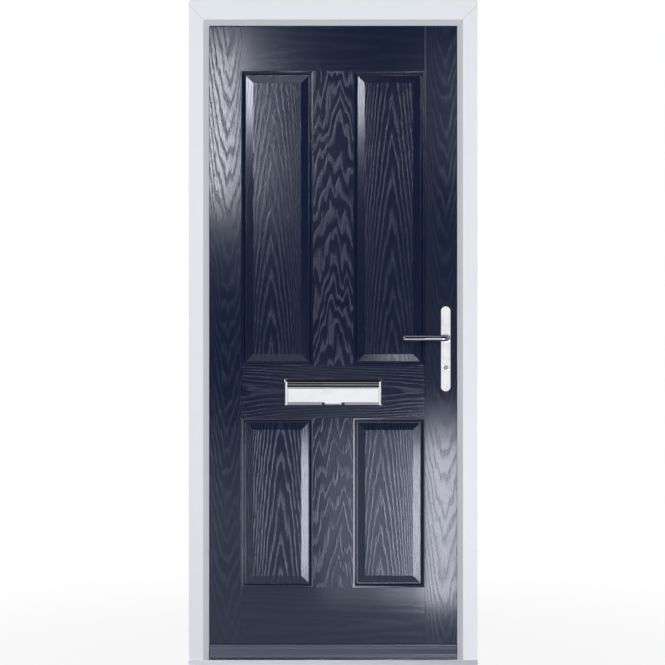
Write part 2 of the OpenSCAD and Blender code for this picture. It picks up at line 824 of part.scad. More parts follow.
// A lock case: a folded steel box that is open towards the faceplate
module open_case(x0, z0, z1) {
    difference() {
        block(x0, case_x1, leaf_mid - case_t / 2, leaf_mid + case_t / 2, z0, z1);
        block(x0 + case_wall, case_x1 + over, leaf_mid - case_t / 2 + case_wall,
            leaf_mid + case_t / 2 - case_wall, z0 + case_wall, z1 - case_wall);
    }
}
module lock_case() {
    color(steel_grey) difference() {
        open_case(case_x0, spindle_z - case_down, spindle_z + case_up);
        bar_y(spindle_x, spindle_z, core_y0, core_y1, hub_neck_d + 2 * fit);
        along_y(core_y0, core_y1) cylinder_outline(cyl_room);
    }
}
module hook_case(z) {
    color(steel_grey) {
        open_case(hook_case_x0, z - hook_case_down, z + hook_case_up);
        bar_y(hook_x, z, leaf_mid - (case_t - case_wall) / 2, leaf_mid + (case_t - case_wall) / 2, hook_pin_d);
    }
}
module lower_hook_case() {
    hook_case(HOOK_Z[0]);
}
module upper_hook_case() {
    hook_case(HOOK_Z[1]);
}

// A swing hook, drawn up into its case: its arm stands on the pin and its claw points inwards
module hook(z) {
    reach = hook_len;
    half = hook_arm / 2;
    color(steel_grey) along_y(leaf_mid - hook_w / 2, leaf_mid + hook_w / 2)
        translate([hook_x, z]) difference() {
            union() {
                circle(d = hook_arm);
                translate([-half, 0]) square([hook_arm, reach]);
                translate([-half - hook_claw, reach - hook_tip]) square([hook_claw + half, hook_tip]);
            }
            circle(d = hook_pin_d + 2 * pin_fit);
        }
}
module lower_hook() {
    hook(HOOK_Z[0]);
}
module upper_hook() {
    hook(HOOK_Z[1]);
}
module deadbolt() {
    x1 = leaf_x - dead_in;
    color(chrome_grey) slide_slot(x1 - dead_len, x1, dead_w / 2, dead_z - dead_h / 2, dead_z + dead_h / 2);
}

// The latch: a nose with one sloped side, a tail, and a lug that the follower's arm pushes
module latch() {
    x1 = leaf_x + latch_travel;
    x0 = x1 - latch_len;
    lug_x1 = spindle_x - hub_arm_w / 2 - lug_gap;
    top = latch_z + latch_tail / 2;
    color(chrome_grey) {
        along_z(latch_z - latch_h / 2, latch_z + latch_h / 2)
            polygon([[x0, leaf_mid - latch_w / 2], [leaf_x, leaf_mid - latch_w / 2],
                [x1, leaf_mid + latch_w / 2 - latch_tip], [x1, leaf_mid + latch_w / 2],
                [x0, leaf_mid + latch_w / 2]]);
        slide_slot(lug_x1 - lug_t, x0 + over, latch_tail / 2, latch_z - latch_tail / 2, top);
        slide_slot(lug_x1 - lug_t, lug_x1, latch_tail / 2, spindle_z + lug_low, top);
    }
}
module follower() {
    t = case_t / 2 - case_wall - fit;
    color(steel_grey) difference() {
        union() {
            bar_y(spindle_x, spindle_z, leaf_mid - t, leaf_mid + t, hub_d);
            bar_y(spindle_x, spindle_z, leaf_mid - case_t / 2, leaf_mid + case_t / 2, hub_neck_d);
            block(spindle_x - hub_arm_w / 2, spindle_x + hub_arm_w / 2, leaf_mid - latch_tail / 2,
                leaf_mid + latch_tail / 2, spindle_z, spindle_z + hub_arm_r);
        }
        square_bar(square_w + 2 * square_fit, leaf_mid - case_t, leaf_mid + case_t);
    }
}
module square_bar(w, y0, y1) {
    block(spindle_x - w / 2, spindle_x + w / 2, y0, y1, spindle_z - w / 2, spindle_z + w / 2);
}

// Handles
module plate_outline() {
    straight = plate_len - plate_w;
    translate([spindle_x, plate_z]) {
        square([plate_w, straight], center = true);
        for (s = [-1, 1]) translate([0, s * straight / 2]) circle(d = plate_w);
    }
}
module backplate_blank() {
    front = leaf_y0 - plate_t;
    crown_r = (plate_w * plate_w / 4 + crown * crown) / (2 * crown);
    difference() {
        union() {
            intersection() {
                along_y(front, leaf_y0) plate_outline();
                bar_z(spindle_x, front + crown_r, plate_z - plate_len, plate_z + plate_len, 2 * crown_r);
            }
            bar_y(spindle_x, spindle_z, front - boss_h, leaf_y0, boss_d);
        }
        bar_y(spindle_x, spindle_z, front - boss_h - over, leaf_y0 + over, neck_d + 2 * pin_fit);
        along_y(front - over, leaf_y0 + over) cylinder_outline(seat);
    }
}
module outer_backplate() {
    color(chrome_grey) difference() {
        backplate_blank();
        for (z = PLATE_BOLT_Z)
            bar_y(spindle_x, z, leaf_y0 - plate_bolt_in - seat, leaf_y0 + over, plate_bolt_d + 2 * seat);
    }
}
module inner_backplate() {
    color(chrome_grey) difference() {
        inside() backplate_blank();
        plate_bolts() bolt_hole(plate_bolt_len, plate_bolt_d, plate_bolt_head_d, plate_bolt_head_h);
    }
}
module plate_bolts() {
    for (z = PLATE_BOLT_Z) to_minus_y(spindle_x, leaf_y1 + plate_t, z) children();
}
module backplate_bolts() {
    color(steel_grey) plate_bolts() bolt(plate_bolt_len, plate_bolt_d, plate_bolt_head_d, plate_bolt_head_h);
}

// A lever: a neck that turns in the backplate's boss, an elbow and a round grip towards the hinges
module lever_blank() {
    bend_y = leaf_y0 - lever_stand + elbow_r;
    difference() {
        union() {
            bar_y(spindle_x, spindle_z, leaf_y0 - plate_t - boss_h, leaf_y0 - neck_end, neck_d);
            bar_y(spindle_x, spindle_z, bend_y, leaf_y0 - plate_t - boss_h, grip_d);
            translate([spindle_x - elbow_r, bend_y, spindle_z]) rotate([0, 0, -90])
                rotate_extrude(angle = 90) translate([elbow_r, 0]) circle(d = grip_d);
            bar_x(leaf_y0 - lever_stand, spindle_z, spindle_x - lever_reach + grip_d / 2,
                spindle_x - elbow_r, grip_d);
            translate([spindle_x - lever_reach + grip_d / 2, leaf_y0 - lever_stand, spindle_z])
                sphere(d = grip_d);
        }
        square_bar(square_w + 2 * square_fit, square_y0 - square_fit, leaf_y0);
        bar_z(spindle_x, grub_y, spindle_z - grip_d, spindle_z, grub_d);
    }
}
module outer_lever() {
    color(chrome_grey) lever_blank();
}
module inner_lever() {
    color(chrome_grey) inside() lever_blank();
}
module spindle() {
    color(steel_grey) square_bar(square_w, square_y0, 2 * leaf_mid - square_y0);
}
module grub() {
    bar_z(spindle_x, grub_y, spindle_z - grip_d / 2 + grub_in, spindle_z - square_w / 2, grub_d);
}
module grub_screws() {
    color(steel_grey) {
        grub();
        inside() grub();
    }
}

// Lock cylinder
module cylinder_body() {
    gap = cam_w / 2 + fit;
    color(chrome_grey) difference() {
        along_y(cyl_y0, cyl_y1) cylinder_outline(0);
        bar_y(spindle_x, cyl_z, cyl_y0 - over, cyl_y1 + over, plug_d + 2 * pin_fit);
        block(spindle_x - cyl_d, spindle_x + cyl_d, leaf_mid - gap, leaf_mid + gap,
            cyl_z - cam_r - over, cyl_z + cyl_d);
        bar_x(leaf_mid, cyl_z - cyl_screw_drop, spindle_x - cyl_d, spindle_x + cyl_d, cyl_screw_d + 2 * seat);
    }
}
module cylinder_screw_hole() {
    bolt_hole(cyl_screw_len, cyl_screw_d, screw_head_d, screw_head_h);
}
module cylinder_screw() {
    color(steel_grey) to_minus_x(leaf_x, leaf_mid, cyl_z - cyl_screw_drop)
        bolt(cyl_screw_len, cyl_screw_d, screw_head_d, screw_head_h);
}
module cylinder_plug() {
    color(chrome_grey) difference() {
        bar_y(spindle_x, cyl_z, cyl_y0, cyl_y1, plug_d);
        block(spindle_x - key_w / 2, spindle_x + key_w / 2, cyl_y0 - over, cyl_y0 + key_d,
            cyl_z - key_h / 2, cyl_z + key_h / 2);
    }
}
module cylinder_cam() {
    color(steel_grey) difference() {
        union() {
            bar_y(spindle_x, cyl_z, leaf_mid - cam_w / 2, leaf_mid + cam_w / 2, cam_ring_d);
            block(spindle_x - cam_r, spindle_x, leaf_mid - cam_w / 2, leaf_mid + cam_w / 2,
                cyl_z - cam_tooth_w / 2, cyl_z + cam_tooth_w / 2);
        }
        bar_y(spindle_x, cyl_z, leaf_mid - cam_w, leaf_mid + cam_w, plug_d + 2 * pin_fit);
    }
}
module thumbturn() {
    knob_y = cyl_y1 + turn_neck;
    color(chrome_grey) {
        bar_y(spindle_x, cyl_z, cyl_y1, knob_y + turn_t / 2, plug_d);
        along_y(knob_y, knob_y + turn_t) translate([spindle_x, cyl_z]) {
            square([turn_h, turn_w - turn_h], center = true);
            for (s = [-1, 1]) translate([0, s * (turn_w - turn_h) / 2]) circle(d = turn_h);
        }
    }
}

// Letter plate
module rounded(w, h, r) {
    square([w - 2 * r, h], center = true);
    square([w, h - 2 * r], center = true);
    for (x = [-1, 1]) for (y = [-1, 1]) translate([x * (w / 2 - r), y * (h / 2 - r)]) circle(r = r);
}
module letter_frame() {
    top = letter_z + letter_h / 2;
    foot = letter_z - letter_h / 2;
    in_x = letter_w / 2 - end_w;
    front = leaf_y0 - rim_t;
    difference() {
        union() {
            along_y(leaf_y0 - base_t, leaf_y0) translate([0, letter_z])
                rounded(letter_w, letter_h, plate_corner);
            for (s = [-1, 1])
                along_y(front - end_proud, leaf_y0) translate([s * (letter_w - end_w) / 2, letter_z])
                    rounded(end_w, letter_h, plate_corner);
            block(-in_x - over, in_x + over, front, leaf_y0, top - top_h, top);
            block(-in_x - over, in_x + over, front, leaf_y0, foot, foot + foot_h);
        }
        block(-in_x, in_x, front - over, front + band_d, top - top_h + band_h, top - band_h);
        block(-lip_w / 2 - lip_notch, lip_w / 2 + lip_notch, front - over, leaf_y0 - base_t,
            foot - over, foot + foot_h + over);
        along_y(leaf_y0 - rim_t, leaf_y0 + over) translate([0, slot_z])
            square([slot_w, slot_h], center = true);
        bar_x(flap_y, flap_z, -letter_pin_half, letter_pin_half, flap_pin_d + 2 * pin_fit);
    }
}
module letter_outer_frame() {
    color(chrome_grey) difference() {
        letter_frame();
        for (s = [-1, 1])
            bar_y(s * letter_bolt_x, slot_z, leaf_y0 - letter_bolt_in - seat, leaf_y0 + over,
                letter_bolt_d + 2 * seat);
    }
}
module letter_inner_frame() {
    color(chrome_grey) difference() {
        inside() letter_frame();
        letter_bolt_places() bolt_hole(letter_bolt_len, letter_bolt_d, plate_bolt_head_d, plate_bolt_head_h);
    }
}
module letter_bolt_places() {
    for (s = [-1, 1]) to_minus_y(s * letter_bolt_x, leaf_y1 + base_t, slot_z) children();
}
module letter_bolts() {
    color(steel_grey) letter_bolt_places()
        bolt(letter_bolt_len, letter_bolt_d, plate_bolt_head_d, plate_bolt_head_h);
}
module letter_sleeve() {
    color(rubber_black) along_y(leaf_y0, leaf_y1) translate([0, slot_z]) difference() {
        square([slot_w + 2 * sleeve_t, slot_h + 2 * sleeve_t], center = true);
        square([slot_w, slot_h], center = true);
    }
}
module letter_pin() {
    bar_x(flap_y, flap_z, -letter_pin_half, letter_pin_half, flap_pin_d);
}
module letter_pins() {
    color(steel_grey) {
        letter_pin();
        inside() letter_pin();
    }
}

// A flap: a bowed plate that hangs from a rolled knuckle, with a finger lip at the middle of its foot
module flap() {
    back = leaf_y0 - base_t - fit;
    foot = letter_z - letter_h / 2 + foot_h + flap_gap;
    drop = flap_z - foot;
    lip_foot = letter_z - letter_h / 2 + flap_gap;
    bow = [for (i = [0 : flap_steps]) [back - flap_t - flap_bow * sin(180 * i / flap_steps),
        foot + drop * i / flap_steps]];
    difference() {
        union() {
            along_x(-flap_half, flap_half) polygon(concat([[back, flap_z], [back, foot]], bow));
            bar_x(flap_y, flap_z, -flap_half, flap_half, 2 * flap_knuckle_r);
            along_x(-lip_w / 2, lip_w / 2)
                polygon([[back, foot + flap_t], [back, foot], [back - lip_curl, lip_foot],
                    [back - lip_curl - flap_t, lip_foot], [back - flap_t, foot + flap_t]]);
        }
        bar_x(flap_y, flap_z, -letter_w, letter_w, flap_pin_d + 2 * pin_fit);
    }
}
module outer_flap() {
    color(chrome_grey) flap();
}
module inner_flap() {
    color(chrome_grey) inside() flap();
}

frame_head();
head_extension();
frame_jamb_hinge();
frame_jamb_lock();
head_steel();
hinge_jamb_steel();
lock_jamb_steel();
threshold();
frame_seal();
latch_keep();
upper_hook_keep();
lower_hook_keep();
frame_screws();
bottom_hinge_frame_flag();
middle_hinge_frame_flag();
top_hinge_frame_flag();
hinge_pins();
outer_skin();
inner_skin();
foam_core();
hinge_stile();
lock_stile();
top_rail();
bottom_rail();
weather_bar();
bottom_seal();
bottom_hinge_leaf_flag();
middle_hinge_leaf_flag();
top_hinge_leaf_flag();
leaf_screws();
lock_faceplate();
lock_case();
upper_hook_case();
lower_hook_case();
outer_backplate();
inner_backplate();
backplate_bolts();
cylinder_body();
cylinder_screw();
letter_outer_frame();
letter_inner_frame();
letter_sleeve();
letter_bolts();
letter_pins();
outer_lever();
inner_lever();
spindle();
follower();
grub_screws();
latch();
cylinder_plug();
cylinder_cam();
thumbturn();
deadbolt();
drive_rail();
upper_hook();
lower_hook();
outer_flap();
inner_flap();
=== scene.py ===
"""Looks, light and camera for a panelled front door in its frame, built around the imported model.

Lengths are in metres, or in millimetres where a docstring says so. Seen from outside, X runs to the
right, Y into the house and Z up.
"""

import json
import logging
import math
from contextlib import contextmanager
from dataclasses import dataclass, field
from enum import Enum
from typing import Callable, Iterator, Sequence

import bpy
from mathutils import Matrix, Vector

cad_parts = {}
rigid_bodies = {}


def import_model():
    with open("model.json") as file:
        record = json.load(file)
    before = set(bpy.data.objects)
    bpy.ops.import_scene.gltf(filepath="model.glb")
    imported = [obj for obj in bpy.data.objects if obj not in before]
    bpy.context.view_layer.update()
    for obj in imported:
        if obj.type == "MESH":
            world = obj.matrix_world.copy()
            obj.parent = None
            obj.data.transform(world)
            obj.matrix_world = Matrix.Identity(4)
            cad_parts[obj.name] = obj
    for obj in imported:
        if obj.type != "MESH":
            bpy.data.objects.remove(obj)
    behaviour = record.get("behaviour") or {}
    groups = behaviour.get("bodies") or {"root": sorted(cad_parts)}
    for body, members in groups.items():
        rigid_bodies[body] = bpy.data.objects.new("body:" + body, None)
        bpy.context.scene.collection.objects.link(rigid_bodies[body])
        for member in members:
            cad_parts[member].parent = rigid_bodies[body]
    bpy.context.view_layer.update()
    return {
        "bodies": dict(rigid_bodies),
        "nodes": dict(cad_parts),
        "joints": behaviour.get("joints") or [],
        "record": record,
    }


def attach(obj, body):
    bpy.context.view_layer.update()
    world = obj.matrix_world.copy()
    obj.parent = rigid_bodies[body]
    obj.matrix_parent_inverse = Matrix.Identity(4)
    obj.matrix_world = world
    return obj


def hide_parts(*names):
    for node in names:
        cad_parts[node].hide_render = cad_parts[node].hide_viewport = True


Span = tuple[float, float]
Point = tuple[float, float, float]
Colour = tuple[float, float, float, float]
Fade = tuple[float, float, float, float]
Outline = tuple[Span, ...]
FaceTest = Callable[[Vector, Vector], bool]
EdgeTest = Callable[[Vector, Vector], bool]
PointTest = Callable[[Vector], bool]
Step = Callable[[], object]

LOG = logging.getLogger("front_door")
MM = 0.001
NEAR = MM / 10
MERGE_WITHIN = 0.000005
SQUARE_ON = 0.9
QUARTER_TURN = math.pi / 2
WHITE: Colour = (1.0, 1.0, 1.0, 1.0)
PLAIN_LIGHT: Point = (1.0, 1.0, 1.0)
COOL_LIGHT: Point = (0.88, 0.89, 1.0)
ZONE_PLACE = "zone_place"
ZONE_FIGURE = "zone_figure"
ZONE_MANNER = "zone_manner"
ZONE_FOLD = "zone_fold"


def every_face(middle: Vector, facing: Vector) -> bool:
    """Takes every face of a piece."""
    return True


class NodeDesk:
    """Short calls for laying and joining the nodes of one tree."""

    MIX_INPUTS = (0, 6, 7)
    MIX_RESULT = 2

    def __init__(self, tree: bpy.types.NodeTree) -> None:
        """Keeps the tree that the calls work on."""
        self.tree = tree

    def add(self, kind: str, **settings: object) -> bpy.types.Node:
        """Adds a node.

        Args:
            kind: Blender's name of the node type.
            settings: Values for the node's own properties.

        Returns:
            The new node.
        """
        node = self.tree.nodes.new(kind)
        for key, value in settings.items():
            setattr(node, key, value)
        return node

    def put(self, socket: bpy.types.NodeSocket, value: object) -> None:
        """Links an output to a socket, or sets the socket's own value.

        Args:
            socket: The input that is filled.
            value: An output to link, or a value to set.
        """
        if isinstance(value, bpy.types.NodeSocket):
            self.tree.links.new(value, socket)
        else:
            socket.default_value = value

    def feed(self, node: bpy.types.Node, inputs: dict[str, object]) -> bpy.types.NodeOutputs:
        """Fills a node's inputs.

        Args:
            node: The node.
            inputs: Outputs or values by the names of its inputs.

        Returns:
            The node's outputs.
        """
        for name, value in inputs.items():
            self.put(node.inputs[name], value)
        return node.outputs

    def math(self, operation: str, *values: object, clamp: bool = False) -> bpy.types.NodeSocket:
        """Adds a Math node.

        Args:
            operation: The node's operation.
            values: Numbers or outputs for its inputs, in order.
            clamp: Whether the result is held between 0 and 1.

        Returns:
            The result.
        """
        node = self.add("ShaderNodeMath", operation=operation, use_clamp=clamp)
        for socket, value in zip(node.inputs, values):
            self.put(socket, value)
        return node.outputs[0]

    def ramp(self, value: object, low: float, high: float,
             first: float = 0.0, last: float = 1.0) -> bpy.types.NodeSocket:
        """Eases a value from one level to another.

        Args:
            value: The number or output that is read.
            low: Where the rise begins.
            high: Where the rise ends.
            first: Level up to low.
            last: Level from high on.

        Returns:
            The eased level.
        """
        node = self.add("ShaderNodeMapRange", interpolation_type="SMOOTHSTEP")
        levels = {"Value": value, "From Min": low, "From Max": high, "To Min": first, "To Max": last}
        return self.feed(node, levels)[0]

    def line(self, value: object, at: object, width: float, core: float = 0.5) -> bpy.types.NodeSocket:
        """Draws a soft line across a coordinate.

        Args:
            value: The coordinate.
            at: Where the line lies.
            width: How far from there it has faded out.
            core: Share of that width that shows in full.

        Returns:
            1 on the line and 0 beside it.
        """
        off = self.math("ABSOLUTE", self.math("SUBTRACT", value, at))
        return self.ramp(off, width * core, width, 1.0, 0.0)

    def tint(self, factor: object, first: object, second: object) -> bpy.types.NodeSocket:
        """Mixes two colours.

        Args:
            factor: Share of the second colour.
            first: Colour at 0.
            second: Colour at 1.

        Returns:
            The mixed colour.
        """
        node = self.add("ShaderNodeMix", data_type="RGBA")
        for index, value in zip(self.MIX_INPUTS, (factor, first, second)):
            self.put(node.inputs[index], value)
        return node.outputs[self.MIX_RESULT]

    def split(self, vector: object) -> bpy.types.NodeOutputs:
        """Returns a vector's X, Y and Z."""
        return self.feed(self.add("ShaderNodeSeparateXYZ"), {"Vector": vector})

    def stretch(self, vector: object, scale: Point) -> bpy.types.NodeSocket:
        """Returns a vector scaled by a different number along each axis."""
        return self.feed(self.add("ShaderNodeMapping"), {"Vector": vector, "Scale": scale})[0]

    def upright(self, vector: object) -> bpy.types.NodeSocket:
        """Returns a vector turned so that lines along X stand along Z."""
        turn = (0.0, QUARTER_TURN, 0.0)
        return self.feed(self.add("ShaderNodeMapping"), {"Vector": vector, "Rotation": turn})[0]

    def attribute(self, name: str) -> bpy.types.NodeOutputs:
        """Returns the outputs of a node that reads an attribute of the mesh."""
        return self.add("ShaderNodeAttribute", attribute_name=name).outputs

    def noise(self, vector: object, scale: object, detail: float = 3.0,
              roughness: float = 0.55) -> bpy.types.NodeSocket:
        """Adds a noise texture.

        Args:
            vector: Where the noise is read.
            scale: Waves per metre.
            detail: Octaves.
            roughness: Share that each finer octave keeps.

        Returns:
            The noise, about 0 to 1.
        """
        node = self.add("ShaderNodeTexNoise")
        levels = {"Vector": vector, "Scale": scale, "Detail": detail, "Roughness": roughness}
        return self.feed(node, levels)["Fac"]

    def bump(self, height: object, relief: Span) -> bpy.types.NodeSocket:
        """Returns the normal of a height, with the relief's depth in metres and its strength."""
        levels = {"Height": height, "Distance": relief[0], "Strength": relief[1]}
        return self.feed(self.add("ShaderNodeBump"), levels)[0]

    def group(self, tree: bpy.types.NodeTree, **inputs: object) -> bpy.types.NodeOutputs:
        """Adds a shared group, fills its inputs and returns its outputs."""
        return self.feed(self.add("ShaderNodeGroup", node_tree=tree), inputs)


class PaintDesk(NodeDesk):
    """The desk of one material, with its shader, the piece's own coordinates and its own normal."""

    def __init__(self, material: bpy.types.Material) -> None:
        """Finds the material's shader and reads the coordinates.

        Args:
            material: The material that is laid.
        """
        material.use_nodes = True
        super().__init__(material.node_tree)
        self.shader = self.tree.nodes["Principled BSDF"]
        given = self.add("ShaderNodeTexCoord").outputs
        self.place = given["Object"]
        self.facing = given["Normal"]

    def set(self, name: str, value: object) -> None:
        """Gives one input of the shader an output or a value."""
        self.put(self.shader.inputs[name], value)


GroupLayer = Callable[[NodeDesk, bpy.types.NodeOutputs, bpy.types.NodeInputs], None]


class Effects:
    """The shared shader groups, each made the first time that a finish asks for it."""

    FINE_TIMES = 38.0
    SPECK_TIMES = 90.0
    SPECK_RISE = (0.66, 0.74)
    LINE_STRETCH = (0.02, 1.0, 1.0)
    LINE_KEEP = 0.65
    BAND_STRETCH = (0.01, 0.12, 0.12)
    DRIFT_STRETCH = (8.0, 1.6, 5.3)
    JAG_STRETCH = (70.0, 9.0, 7.1)
    JAG_SHARE = 0.9
    FOLD_STRETCH = (34.0, 5.0, 3.3)
    RING_RISE = (0.0, 0.20)
    RING_FALL = (0.26, 0.66, 1.0, 0.0)
    FIBRE_STRETCH = (420.0, 16.0, 3.7)
    FIBRE_BREAK = (0.30, 0.58, 0.35, 1.0)
    PORE_STRETCH = (900.0, 42.0, 9.1)
    PORE_RISE = (0.56, 0.70)

    @staticmethod
    def _shared(name: str, inputs: Sequence[str], outputs: Sequence[str],
                lay: GroupLayer) -> bpy.types.NodeTree:
        """Finds a group, or makes it.

        Args:
            name: The group's name.
            inputs: Input sockets, where Vector is a vector and the rest are numbers.
            outputs: Number outputs.
            lay: Lays the nodes between the group's inputs and its outputs.

        Returns:
            The group.
        """
        tree = bpy.data.node_groups.get(name)
        if tree is None:
            tree = bpy.data.node_groups.new(name, "ShaderNodeTree")
            for item in inputs:
                kind = "NodeSocketVector" if item == "Vector" else "NodeSocketFloat"
                tree.interface.new_socket(item, in_out="INPUT", socket_type=kind)
            for item in outputs:
                tree.interface.new_socket(item, in_out="OUTPUT", socket_type="NodeSocketFloat")
            desk = NodeDesk(tree)
            lay(desk, desk.add("NodeGroupInput").outputs, desk.add("NodeGroupOutput").inputs)
        return tree

    @classmethod
    def mottle(cls) -> bpy.types.NodeTree:
        """Returns the group for broad mottling, fine grain and specks on moulded and plated surfaces."""
        outputs = ("Mottle", "Fine", "Specks")
        return cls._shared("surface_mottle", ("Vector", "Scale"), outputs, cls._lay_mottle)

    @classmethod
    def streaks(cls) -> bpy.types.NodeTree:
        """Returns the group for long fine lines along X, as drawing, brushing and growth leave."""
        return cls._shared("drawn_streaks", ("Vector", "Scale"), ("Lines", "Bands"), cls._lay_streaks)

    @classmethod
    def woodgrain(cls) -> bpy.types.NodeTree:
        """Returns the group for pressed oak figure, laid out by the zone attributes of the leaf's faces."""
        outputs = ("Figure", "Fibre", "Pores")
        return cls._shared("pressed_oak_figure", ("Vector",), outputs, cls._lay_woodgrain)

    @classmethod
    def _lay_mottle(cls, desk: NodeDesk, given: bpy.types.NodeOutputs, result: bpy.types.NodeInputs) -> None:
        """Lays three noises, each finer than the last.

        Args:
            desk: The group's desk.
            given: Its inputs.
            result: Its outputs.
        """
        place, scale = given["Vector"], given["Scale"]
        fine = desk.noise(place, desk.math("MULTIPLY", scale, cls.FINE_TIMES), 2.0)
        specks = desk.noise(place, desk.math("MULTIPLY", scale, cls.SPECK_TIMES), 1.0)
        desk.put(result["Mottle"], desk.noise(place, scale, 4.0))
        desk.put(result["Fine"], fine)
        desk.put(result["Specks"], desk.ramp(specks, *cls.SPECK_RISE))

    @classmethod
    def _lay_streaks(cls, desk: NodeDesk, given: bpy.types.NodeOutputs, result: bpy.types.NodeInputs) -> None:
        """Lays two noises that are drawn out along X.

        Args:
            desk: The group's desk.
            given: Its inputs.
            result: Its outputs.
        """
        place, scale = given["Vector"], given["Scale"]
        lines = desk.noise(desk.stretch(place, cls.LINE_STRETCH), scale, 3.0, cls.LINE_KEEP)
        desk.put(result["Lines"], lines)
        desk.put(result["Bands"], desk.noise(desk.stretch(place, cls.BAND_STRETCH), scale, 2.0))

    @classmethod
    def _lay_woodgrain(cls, desk: NodeDesk, given: bpy.types.NodeOutputs,
                       result: bpy.types.NodeInputs) -> None:
        """Lays the ring lines of cut oak, broken up by fibres, with pores between them.

        Args:
            desk: The group's desk.
            given: Its inputs.
            result: Its outputs.
        """
        x, _, z = desk.split(given["Vector"])
        heart_x, heart_z, seed = desk.split(desk.attribute(ZONE_PLACE)["Vector"])
        turned, strength, slope = desk.split(desk.attribute(ZONE_MANNER)["Vector"])
        wide = desk.math("SUBTRACT", x, heart_x)
        tall = desk.math("SUBTRACT", z, heart_z)
        across = cls._swap(desk, turned, wide, tall)
        along = cls._swap(desk, turned, tall, wide)
        place = desk.feed(desk.add("ShaderNodeCombineXYZ"), {"X": across, "Y": along, "Z": seed})[0]
        saw = desk.math("FRACT", cls._rings(desk, place, across, along, slope))
        ring = desk.math("MULTIPLY", desk.ramp(saw, *cls.RING_RISE), desk.ramp(saw, *cls.RING_FALL))
        fibre = desk.noise(desk.stretch(place, cls.FIBRE_STRETCH), 1.0, 2.0)
        broken = desk.math("MULTIPLY", ring, desk.ramp(fibre, *cls.FIBRE_BREAK))
        pores = desk.noise(desk.stretch(place, cls.PORE_STRETCH), 1.0, 1.0)
        desk.put(result["Figure"], desk.math("MULTIPLY", broken, strength))
        desk.put(result["Fibre"], fibre)
        desk.put(result["Pores"], desk.ramp(pores, *cls.PORE_RISE))

    @staticmethod
    def _swap(desk: NodeDesk, turned: object, plain: object, other: object) -> bpy.types.NodeSocket:
        """Returns the plain coordinate, or the other one where the zone's grain is turned."""
        return desk.math("MULTIPLY_ADD", turned, desk.math("SUBTRACT", other, plain), plain)

    @classmethod
    def _rings(cls, desk: NodeDesk, place: object, across: object, along: object,
               slope: object) -> bpy.types.NodeSocket:
        """Counts the rings from a zone's heart to a point.

        Args:
            desk: The group's desk.
            place: The point in its zone, with the zone's seed.
            across: How far the point lies across the grain.
            along: How far it lies along the grain.
            slope: Rings per metre across.

        Returns:
            The count, with its drift, folds and jags.
        """
        rate, curve, drifting = desk.split(desk.attribute(ZONE_FIGURE)["Vector"])
        noises = ((cls.DRIFT_STRETCH, 2.0), (cls.JAG_STRETCH, 2.0), (cls.FOLD_STRETCH, 1.0))
        drift, jags, folds = [
            desk.math("SUBTRACT", desk.noise(desk.stretch(place, stretch), 1.0, detail), 0.5)
            for stretch, detail in noises]
        terms = ((desk.math("MULTIPLY", across, across), curve), (desk.math("ABSOLUTE", across), slope),
                 (drift, drifting), (folds, desk.attribute(ZONE_FOLD)["Fac"]), (jags, cls.JAG_SHARE))
        rings = desk.math("MULTIPLY", rate, along)
        for measure, times in terms:
            rings = desk.math("MULTIPLY_ADD", measure, times, rings)
        return rings


@dataclass(frozen=True)
class Finish:
    """A surface finish with its own procedural material."""

    name: str

    def material(self) -> bpy.types.Material:
        """Finds the finish's material, or makes it.

        Returns:
            The material.
        """
        made = bpy.data.materials.get(self.name)
        if made is None:
            made = bpy.data.materials.new(self.name)
            self.lay(PaintDesk(made))
        return made

    def lay(self, desk: PaintDesk) -> None:
        """Lays the nodes on the material's desk; each finish has its own."""
        raise NotImplementedError

    def dress(self, piece: bpy.types.Object) -> None:
        """Gives a piece this finish alone.

        Args:
            piece: The piece that is dressed.
        """
        if not piece.material_slots:
            piece.data.materials.append(None)
        for slot in piece.material_slots:
            slot.material = self.material()


